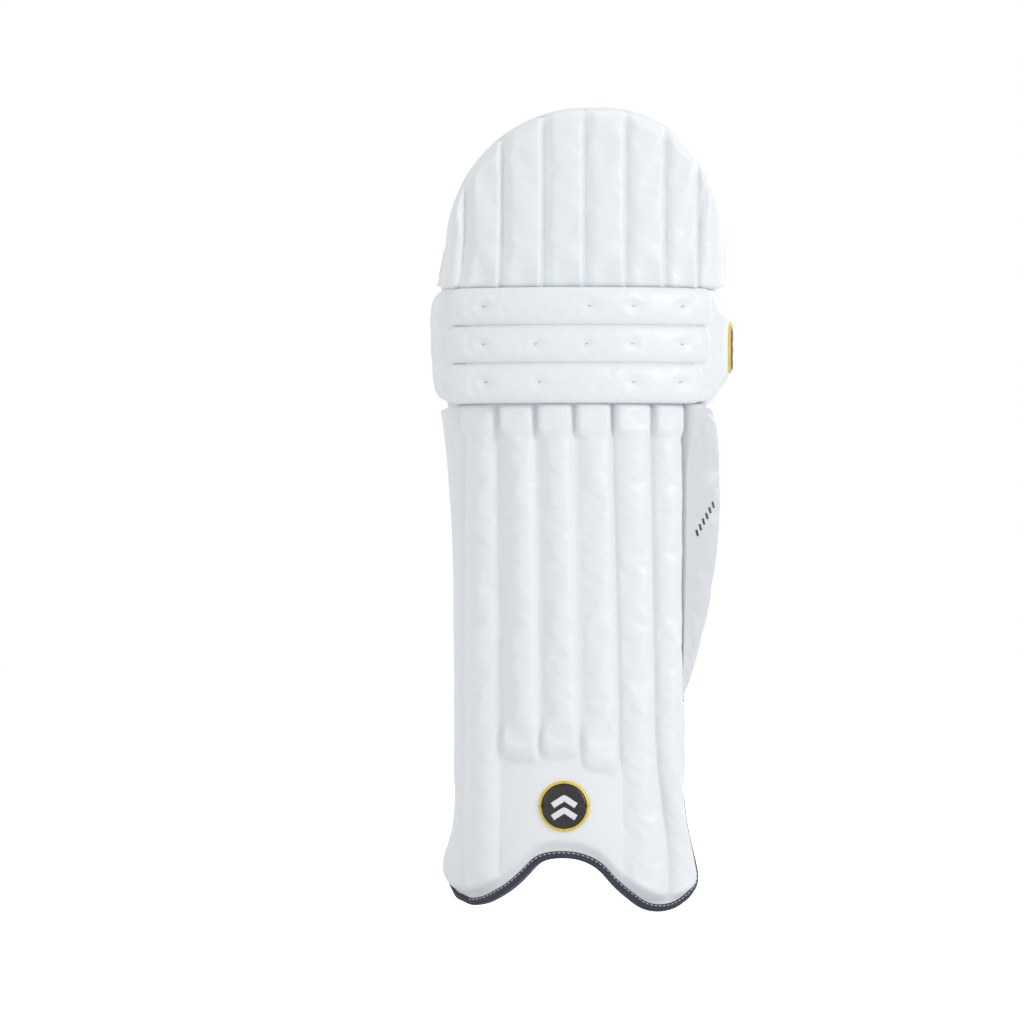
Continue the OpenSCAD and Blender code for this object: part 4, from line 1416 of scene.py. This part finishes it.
def make_binding(front, behind):
    """Folded tape round the edge of both feet, wider at its inner corner, and the two rows
    that its stitches follow, from that corner on."""
    path, through, out = binding_path(front, behind)
    at_corner = smooth(path[:, 0], -100, -112) * smooth(path[:, 2], 50, 30)
    through = through * (1 + 0.38 * at_corner)[:, None]
    half, legs = 5.3, 5.6
    cap = [(half * math.cos(math.pi * k / 12), 1.4 * math.sin(math.pi * k / 12) ** 0.6) for k in range(13)]
    outside = [(half + 0.1, -legs), (half + 0.1, -legs * 0.5), *cap,
               (-half - 0.1, -legs * 0.5), (-half - 0.1, -legs)]
    inside = [(-half + 0.9, -legs), (-half + 1.2, -legs * 0.4), (0, 0.2), (half - 1.2, -legs * 0.4),
              (half - 0.9, -legs)]
    loop = outside + inside
    points = [p + r * d + o * h for p, r, o in zip(path, through, out) for d, h in loop]
    uvs = [(s / 1000, w / 1000) for s in run_of(path) for w in run_of(np.array(loop))]
    faces = tube_faces(len(path), len(loop), flip=True)
    obj = mesh_object("foot_binding", points, faces, BINDING, uvs)
    fix_normals(obj)
    start = int(np.argmax(path[:, 0] > -104))
    rows = [path + through * (side * (half + 0.45)) - out * (legs - 1.5) for side in (1, -1)]
    return obj, [row[start:] for row in rows]


# ---------------------------------------------------------------- straps


def slanted(points, slant, about):
    """Points of a strap, turned by its slant about its middle height."""
    return turn_y(points, slant, np.array([0, 0, about])) if slant else points


def strap_slab(name, x0, x1, z0, z1, r0, r1, material, rows=14, cols=72, wave=0.5,
               slant=0.0, about=0.0, round_end=0.0):
    """A strap layer: a flat arc behind the leg, from radius r0 to r1."""
    u, v = stations(cols, 0.2, rows, 0.5)
    x, z = lerp(x0, x1, u) + 0 * v, lerp(z0, z1, v) + 0 * u
    edge = np.minimum(np.minimum(v, 1 - v) * (z1 - z0), np.minimum(u, 1 - u) * (x1 - x0))
    if round_end:
        mid = (z0 + z1) / 2
        z = mid + (z - mid) * (0.75 + 0.25 * quarter((x1 - x) / round_end))
    middle = (r0 + r1) / 2 + wave * ripple(x, z, 46, about)
    half = (r1 - r0) / 2 * lerp(0.25, 1, quarter(edge / ((r1 - r0) * 0.9)))
    sides = [np.stack([x, STRAP_CY + np.sqrt(r * r - x * x), z], -1) for r in (middle + half, middle - half)]
    return slab(name, *(slanted(points, slant, about) for points in sides), material)


def strap_line(x_at, z0, z1, r, slant, about):
    """Upright line on a strap's rear face."""
    y = STRAP_CY + math.sqrt(r * r - x_at * x_at)
    return slanted(np.array([(x_at, y, z) for z in np.linspace(z0, z1, 30)]), slant, about)


def strap_edge(x0, x1, z_at, r, slant, about):
    """Line along a strap's rear face at one height."""
    x = np.linspace(x0, x1, 120)
    return slanted(np.stack([x, STRAP_CY + np.sqrt(r * r - x * x), np.full(120, z_at)], -1), slant, about)


def band_stripes(name, height, navy):
    """Navy at the bottom, then white, gold and lime lines up to height (all in mm)."""
    pale = (0.78, 0.78, 0.80)
    rest = height - navy
    return striped_band(name, [(navy / 1000, NAVY), ((navy + rest * 0.14) / 1000, pale),
                               ((navy + rest * 0.52) / 1000, GOLD), ((navy + rest) / 1000 + 1, PALE_LIME)])


def make_strap(which, x_end, z_mid, width, low, high, navy, band_end, bars=(), slant=0.0):
    """Padded strap with its woven band, a row of stitches along each edge, and bars of
    stitches across the band. The band reaches from low to high about z_mid, navy of it
    navy, and as far as band_end."""
    half, surface, start = width / 2, STRAP_R + STRAP_T, STRAP_ROOT[0] + 4
    pad = strap_slab(which, STRAP_ROOT[0], x_end, z_mid - half, z_mid + half, STRAP_R, surface, STRAP,
                     slant=slant, about=z_mid, round_end=4)
    done(pad, which, "strap_cloth", which, pad=0.3)
    weave = band_stripes(which + "_weave", high - low, navy)
    tape = strap_slab(which + "_band", start, band_end, z_mid + low, z_mid + high, surface - 0.3,
                      surface + 1.1, weave, rows=10, slant=slant, about=z_mid)
    done(tape, which, "woven_band", which + "_band")
    for k, up in enumerate((half - 2.6, 2.6 - half)):
        row = strap_edge(start, x_end - 3, z_mid + up, surface + 0.35, slant, z_mid)
        done(stitches(f"{which}_stitch_{k + 1}", row, 2.6, 1.4, 0.3), which, "strap_cloth")
    for k, x_at in enumerate(bars):
        line = strap_line(x_at, z_mid + low + 0.5, z_mid + high - 0.5, surface + 1.55, slant, z_mid)
        done(stitches(f"{which}_bar_{k + 1}", line, 2.4, 1.0, 0.38), which, "strap_cloth")
    return pad, tape


def make_root(name, z_mid, width, slant=0.0):
    """Folded cloth that joins a strap's root to the wall in front of it."""
    x_at, y_at = STRAP_ROOT[:2]
    u, v = np.linspace(0, 1, 13)[None, :], spread(12, 0.4)[:, None]
    middle = z_mid + math.tan(math.radians(-slant)) * x_at
    z = lerp(middle - width / 2 + 2, middle + width / 2 - 2, v) + 0 * u
    turn = lerp(-0.5, 1.0, u) * math.pi / 2
    x = x_at - 3.0 * np.cos(turn) + 0.5 + np.where(u > 0.6, (u - 0.6) * 18, 0) + 0 * v
    y = y_at - 4.2 + 8.4 * u * 0.9 + 0 * v
    front = np.stack([x - 0.8, y, z], -1)
    behind = np.stack([x + 0.8, y, z], -1)
    obj = slab(name, front, behind, STRAP, rounds=0)
    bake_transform(obj)


def fold_room(piece, fold, side):
    """Trims the edge of a piece above (side 1) or below (side -1) a fold to the wedge behind
    the fold's axis, so that it stays clear of its neighbour when the pad folds."""
    count = len(piece.data.vertices)
    co = np.empty(count * 3)
    piece.data.vertices.foreach_get("co", co)
    co = co.reshape(-1, 3)
    behind = co[:, 1] - fold[1] / 1000
    edge = fold[2] / 1000 + side * (behind * FOLD_SLOPE + 0.0003)
    trimmed = np.where(side * co[:, 2] < side * edge, edge, co[:, 2])
    co[:, 2] = np.where(behind > 0, trimmed, co[:, 2])
    piece.data.vertices.foreach_set("co", co.ravel())
    piece.data.update()


def make_fold_cloth(name, fold_z, plan, inner_limit=None):
    """Cloth that closes the fold between two sections. inner_limit says how far it may stand
    out on the inner side at each height."""
    length = run_of(plan)[-1]
    at = np.linspace(0, length, 90)
    plan = resample(plan, at)
    along = unit(np.gradient(plan, axis=0))
    out = np.stack([along[:, 1], -along[:, 0]], -1)[None]
    v = np.linspace(-1, 1, 17)[:, None]
    near_end = smooth(np.minimum(at, length - at), 18, 3)
    half = 13 - 8 * near_end + np.maximum(plan[:, 1] - FOLD_Y, 0) * 0.26
    z = fold_z + v * half[None, :]
    tuck = (1.5 * bump(z - fold_z, 0, 3.0))[..., None]
    middle = plan[None] - out * tuck
    if inner_limit:
        middle[..., 0] = np.maximum(middle[..., 0], -inner_limit(z))
    front = np.concatenate([middle + 1.5 * out, z[..., None]], -1)
    behind = np.concatenate([middle - 1.5 * out, z[..., None]], -1)
    obj = slab(name, front, behind, LEATHER, rounds=0)
    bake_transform(obj)


# ---------------------------------------------------------------- build: stuffed pieces first

shin_face, *shin_grids = make_shin_face()
thigh_face = make_thigh_face()
thigh_lining = make_thigh_lining()
rolls = [make_roll(k) for k in range(3)]
knee_backing = make_knee_backing()
wing_outer = make_knee_wing("knee_wing_outer", 1)
wing_inner = make_knee_wing("knee_wing_inner", -1)
calf_wing = make_calf_wing()
wall_inner = make_side_wall("side_wall_inner", -1, 98, None, -12, 112, SHIN_TOP - 1, 23)
wall_outer = make_side_wall("side_wall_outer", 1, 84, 92.5, -28, 112, 199, node_box("side_wall_outer")[1][1])

SPLIT_LOW = node_box("knee_pad_centre_lower")[1][2]
SPLIT_HIGH = node_box("knee_pad_centre_upper")[0][2]
UPPER, LOWER = (SPLIT_HIGH - 5, KNEE_HIGH + 0.5), (KNEE_LOW + 1, SPLIT_LOW - 2)
UPPER_CENTRE = (SPLIT_HIGH - 4, KNEE_HIGH + 0.5)
knee_pads = {}
for seed, (pad_name, x0, x1, heights, rear_r, material, corner) in enumerate((
        ("knee_bolster_upper_outer", 40.6, 126, UPPER, 125.5, LINING_WHITE, 10),
        ("knee_bolster_upper_inner", -126, -38.6, UPPER, 125.5, LINING_WHITE, 10),
        ("knee_bolster_lower_outer", 34.8, 126, LOWER, 125.5, LINING_WHITE, 12),
        ("knee_bolster_lower_inner", -126, -38.6, LOWER, 125.5, LINING_WHITE, 12),
        ("knee_pad_centre_upper", -37.6, 39.6, UPPER_CENTRE, 129.5, HATCH_PRINT, 8),
        ("knee_pad_centre_lower", -37.6, 33.8, LOWER, 129.5, CELL_PRINT, 8)), 1):
    knee_pads[pad_name] = ring_pad(pad_name, KNEE_CY, rear_r, 152.4, x0, x1, *heights, material,
                                   6.0, 14.0, seed, limit=21.0, corner=corner)

SHIN_PADS = (node_box("shin_bolster_outer")[0][2], SHIN_TOP - 6)
shin_pads = {}
for seed, (pad_name, x0, x1) in enumerate((("shin_bolster_outer", 25.6, 86.5),
                                           ("shin_bolster_inner", -97.0, -33.6)), 7):
    shin_pads[pad_name] = ring_pad(pad_name, SHIN_CY, 97.0, 120.8, x0, x1, *SHIN_PADS, MESH,
                                   7.0, 15.0, seed, rows=90, limit=23.0, corner=16)
centre_panel = ring_pad("shin_centre_panel", SHIN_CY, 104.0, 120.8, -32.8, 24.8, *SHIN_PADS,
                        PANEL_PRINT, 3.0, 8.0, 9, rows=90, cols=22, swell_cap=1.5)

run_cloth()
for piece in (shin_face, wall_inner, calf_wing):
    fold_room(piece, KNEE_FOLD, -1)
for piece in (wing_outer, wing_inner, knee_backing):
    fold_room(piece, KNEE_FOLD, 1)
    fold_room(piece, THIGH_FOLD, -1)
for piece in (thigh_face, thigh_lining):
    fold_room(piece, THIGH_FOLD, 1)

# ---------------------------------------------------------------- bodies and replaced nodes

done(shin_face, "shin", "face_leather", *[f"shin_cane_{i}" for i in range(1, 8)], "instep_panel",
     "shin_core", pad=0.9)
done(thigh_face, "thigh_flap", "face_leather", *[f"thigh_section_{i}" for i in range(1, 9)],
     "thigh_core", pad=0.85)
done(thigh_lining, "thigh_flap", "printed_lining", "thigh_lining", pad=0.5)
done(make_thigh_piping(), "thigh_flap", "white_lining", "thigh_edge_piping")
for k, (roll, _, _) in enumerate(rolls):
    done(roll, "knee", "face_leather", f"knee_roll_{k + 1}", pad=0.9)
done(wing_outer, "knee", "face_leather", "knee_wing_outer", pad=0.7)
done(wing_inner, "knee", "face_leather", "knee_wing_inner", pad=0.7)
done(knee_backing, "knee", "white_lining", "knee_core", pad=0.4)
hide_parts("calf_wing")
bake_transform(calf_wing)
done(wall_inner, "shin", "white_lining", "side_wall_inner", pad=0.7)
done(wall_outer, "shin", "white_lining", "side_wall_outer", pad=0.7)
for pad_name, pad in knee_pads.items():
    done(pad, "knee", "printed_lining" if "centre" in pad_name else "white_lining", pad_name, pad=0.7)
    if "bolster" in pad_name:
        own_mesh(pad)
for pad_name, pad in shin_pads.items():
    done(pad, "shin", "mesh_cloth", pad_name, pad=0.75)
    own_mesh(pad)
done(centre_panel, "shin", "printed_lining", "shin_centre_panel", pad=0.5)
done(make_instep_lining(), "shin", "white_lining", "instep_lining", pad=0.5)
binding, binding_rows = make_binding(*shin_grids)
done(binding, "shin", "navy_binding", "foot_binding")
for k, row in enumerate(binding_rows):
    done(stitches(f"foot_binding_stitch_{k + 1}", row, 3.0, 1.5, 0.35), "shin", "navy_binding")

# ---------------------------------------------------------------- straps

make_strap("knee_strap", 125, 508, 30, -7.5, 5.5, 8.0, 123, bars=(119,), slant=-4.6)
calf_strap, calf_strap_band = make_strap("calf_strap", 108, 368, 62, -18, 15, 22, -3)
make_strap("ankle_strap", 94, 159.5, 71, -22, 12, 22.5, 93, bars=(90, -33))
make_root("knee_strap_root", 508, 30, slant=-4.6)
make_root("calf_strap_root", 368, 62)
make_root("ankle_strap_root", 159.5, 71)

# ---------------------------------------------------------------- cloth at the folds


def fold_plan(inner, r, cy, x0, x1, outer):
    """Plan of the cloth in a fold: round the inner side, across behind the face and round the
    outer side."""
    x = np.linspace(x0, x1, 40)
    return np.array(inner + list(zip(x, cy - np.sqrt(r * r - x * x))) + outer)


knee_plan = fold_plan([(-130, 12), (-131.5, -2), (-129, -14), (-122, -24), (-115, -30)],
                      SEAM_R - 4, SHIN_CY, -108, 96,
                      [(107, -36), (113, -33), (118, -24), (120, -10), (120, 8)])
make_fold_cloth("knee_fold_cloth", KNEE_FOLD[2], knee_plan,
                inner_limit=lambda z: face_left(np.minimum(z, KNEE_FOLD[2])) - 4.5)
thigh_plan = fold_plan([(-130.5, -20), (-131.5, -25), (-129, -30), (-121, -36)],
                       170, KNEE_CY, -114, 110, [(118, -38), (123.5, -30), (125.5, -22)])
make_fold_cloth("thigh_fold_cloth", THIGH_FOLD[2], thigh_plan)

# ---------------------------------------------------------------- badges, prints and threads

face_skin = [skin_of(shin_face)]
lining_skin = [skin_of(thigh_lining)]
knee_skin = {name: [skin_of(pad)] for name, pad in knee_pads.items()}
panel_skin = [skin_of(centre_panel)]
wing_skin = [skin_of(calf_wing)]
strap_skin = [skin_of(calf_strap), skin_of(calf_strap_band)]

make_badge("front_badge", "shin", (-41, 5, 75, 121), 23, face_skin, -1, 0, 2.2)
make_badge("knee_side_badge", "knee", (-24, 17, 496.5, 542.5), 12, [skin_of(wing_outer)], 2, 0, 2.5)
make_badge("thigh_rear_badge", "thigh_flap", (-41, 34, 623, 710), 26, lining_skin, 1, 5.5, 2.6)
for k, (name, by, material, thick) in enumerate((
        ("knee_rear_badge_plate", 0, WHITE_FILM, 0.8), ("knee_rear_badge_line", 2.2, NAVY_FILM, 1.0),
        ("knee_rear_badge_field", 3.4, WHITE_FILM, 1.2))):
    plate = decal(name, rounded(-27 + by, 28 - by, 524.5 + by, 560 - by, 12 - by),
                  knee_skin["knee_pad_centre_upper"], 1, material, thick)
    done(plate, "knee", "badge_rubber", *(["knee_rear_badge"] if k == 0 else []))
for k, z in enumerate((536.0, 543.0, 550.0)):
    bar = ribbon(f"knee_rear_badge_bar_{k + 1}", [(-14 + 4 * k, z), (15 - 4 * k, z)], 3.0,
                 knee_skin["knee_pad_centre_upper"], 1, NAVY_FILM, lift=1.3)
    done(bar, "knee", "badge_rubber")
make_tab(strap_skin)

LOWER_SKIN = knee_skin["knee_pad_centre_lower"]
for body, skin, name, path, width, material in (
        ("thigh_flap", lining_skin, "thigh_lining_gold_1",
         [(97, 683.5), (88, 677), (48, 632), (4.6, 583.5)], 6.6, GOLD_FILM),
        ("thigh_flap", lining_skin, "thigh_lining_lime_1",
         [(-97, 673), (-51, 631), (-1, 583.5)], 5.6, LIME_FILM),
        ("thigh_flap", lining_skin, "thigh_lining_lime_2", [(118, 594), (107, 582.5)], 3.6, LIME_FILM),
        ("shin", panel_skin, "shin_centre_panel_gold_1", [(18.5, 458), (-30.4, 416)], 5.0, GOLD_FILM),
        ("shin", panel_skin, "shin_centre_panel_lime_1",
         [(4.6, 458), (-14, 449), (-31.4, 433)], 3.0, LIME_FILM),
        ("shin", panel_skin, "shin_centre_panel_gold_2", [(24.0, 303.6), (3.7, 276)], 4.0, GOLD_FILM),
        ("shin", panel_skin, "shin_centre_panel_gold_3", [(-17.5, 256.5), (-31.4, 238)], 4.0, GOLD_FILM),
        ("shin", panel_skin, "shin_centre_panel_lime_2", [(23.1, 219.6), (7.4, 201)], 3.0, LIME_FILM),
        ("shin", panel_skin, "shin_centre_panel_lime_3", [(-31.4, 213), (-16.6, 193.8)], 4.2, LIME_FILM),
        ("shin", panel_skin, "shin_centre_panel_lime_4", [(22.5, 120), (15.7, 125.5)], 3.0, LIME_FILM),
        ("knee", LOWER_SKIN, "knee_pad_centre_lower_gold", [(24, 494), (2, 472)], 5.5, GOLD_FILM)):
    done(ribbon(name, path, width, skin, 1, material), body, "printed_lining")
for k, z in enumerate([208, 228, 248, 268, 288, 308, 398, 418]):
    mark = chevron(f"shin_centre_panel_chevron_{k + 1}", -3, z, 24, 8, 5.0, panel_skin, 1, 0.5)
    done(mark, "shin", "printed_lining")
for k in range(6):
    x, z = 105 + 3.1 * k, 345 + 5.2 * k
    dash = ribbon(f"calf_wing_dash_{k + 1}", [(x, z), (x - 1.6, z + 5.6)], 1.8, wing_skin, -1,
                  BLACK_FILM, lift=0.1, thick=0.25, step=1.0)
    done(dash, "calf_wing", "face_leather")
for k, (roll, tufts, z_mid) in enumerate(rolls):
    skin = [skin_of(roll)]
    for n, x in enumerate(tufts):
        line = on_surface([(x - 1.6, z_mid - 0.2), (x, z_mid), (x + 1.6, z_mid + 0.3)], skin, -1, 0.15)
        tuft = mesh_object(f"knee_roll_{k + 1}_tuft_{n + 1}", *tube_mesh(line, 0.55), GREY_THREAD)
        done(tuft, "knee", "face_leather")

rim = DOME_R - 5.5
edge = [(DOME_X + rim - 6 * smooth(z, 640, 590), z) for z in np.linspace(588, 612, 10)]
edge += [(DOME_X + rim * math.cos(a), float(dome_top(DOME_X + rim * math.cos(a), 5.5)))
         for a in np.radians(np.linspace(-8, 78, 70)) if a > 0.05]
done(stitches("thigh_lining_stitch", on_surface(edge, lining_skin, 1, 0.2), 2.4, 1.8, 0.32),
     "thigh_flap", "printed_lining")
tack("knee_tack_1", 41, 566, knee_skin["knee_bolster_upper_outer"], (20, 100))
tack("knee_tack_2", 31, 486, LOWER_SKIN, (-30, 40))
tack("knee_tack_3", -33, 486, LOWER_SKIN, (140, 200))

# ---------------------------------------------------------------- CAD nodes that stay


def repaint(node, material):
    """Gives a CAD node that stays another material."""
    materials = frame["nodes"][node].data.materials
    materials.clear()
    materials.append(material)


repaint("cane_rods", CANE)
for name in ("knee", "calf"):
    repaint(name + "_loop_patch", LOOP)
    repaint(name + "_strap_hook_patch", HOOK)
for name, body, inner_r, outer_r, material in (
        ("ankle_strap_hook_patch", "ankle_strap", STRAP_R - 1.6, STRAP_R - 0.1, HOOK),
        ("ankle_loop_patch", "shin", STRAP_R - 3.2, STRAP_R - 1.8, LOOP)):
    low, high = node_box(name)
    patch = strap_slab(name, 84, 92.4, low[2], high[2], inner_r, outer_r, material, rows=8, cols=8, wave=0)
    done(patch, body, "hook_and_loop", name)

low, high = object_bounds()
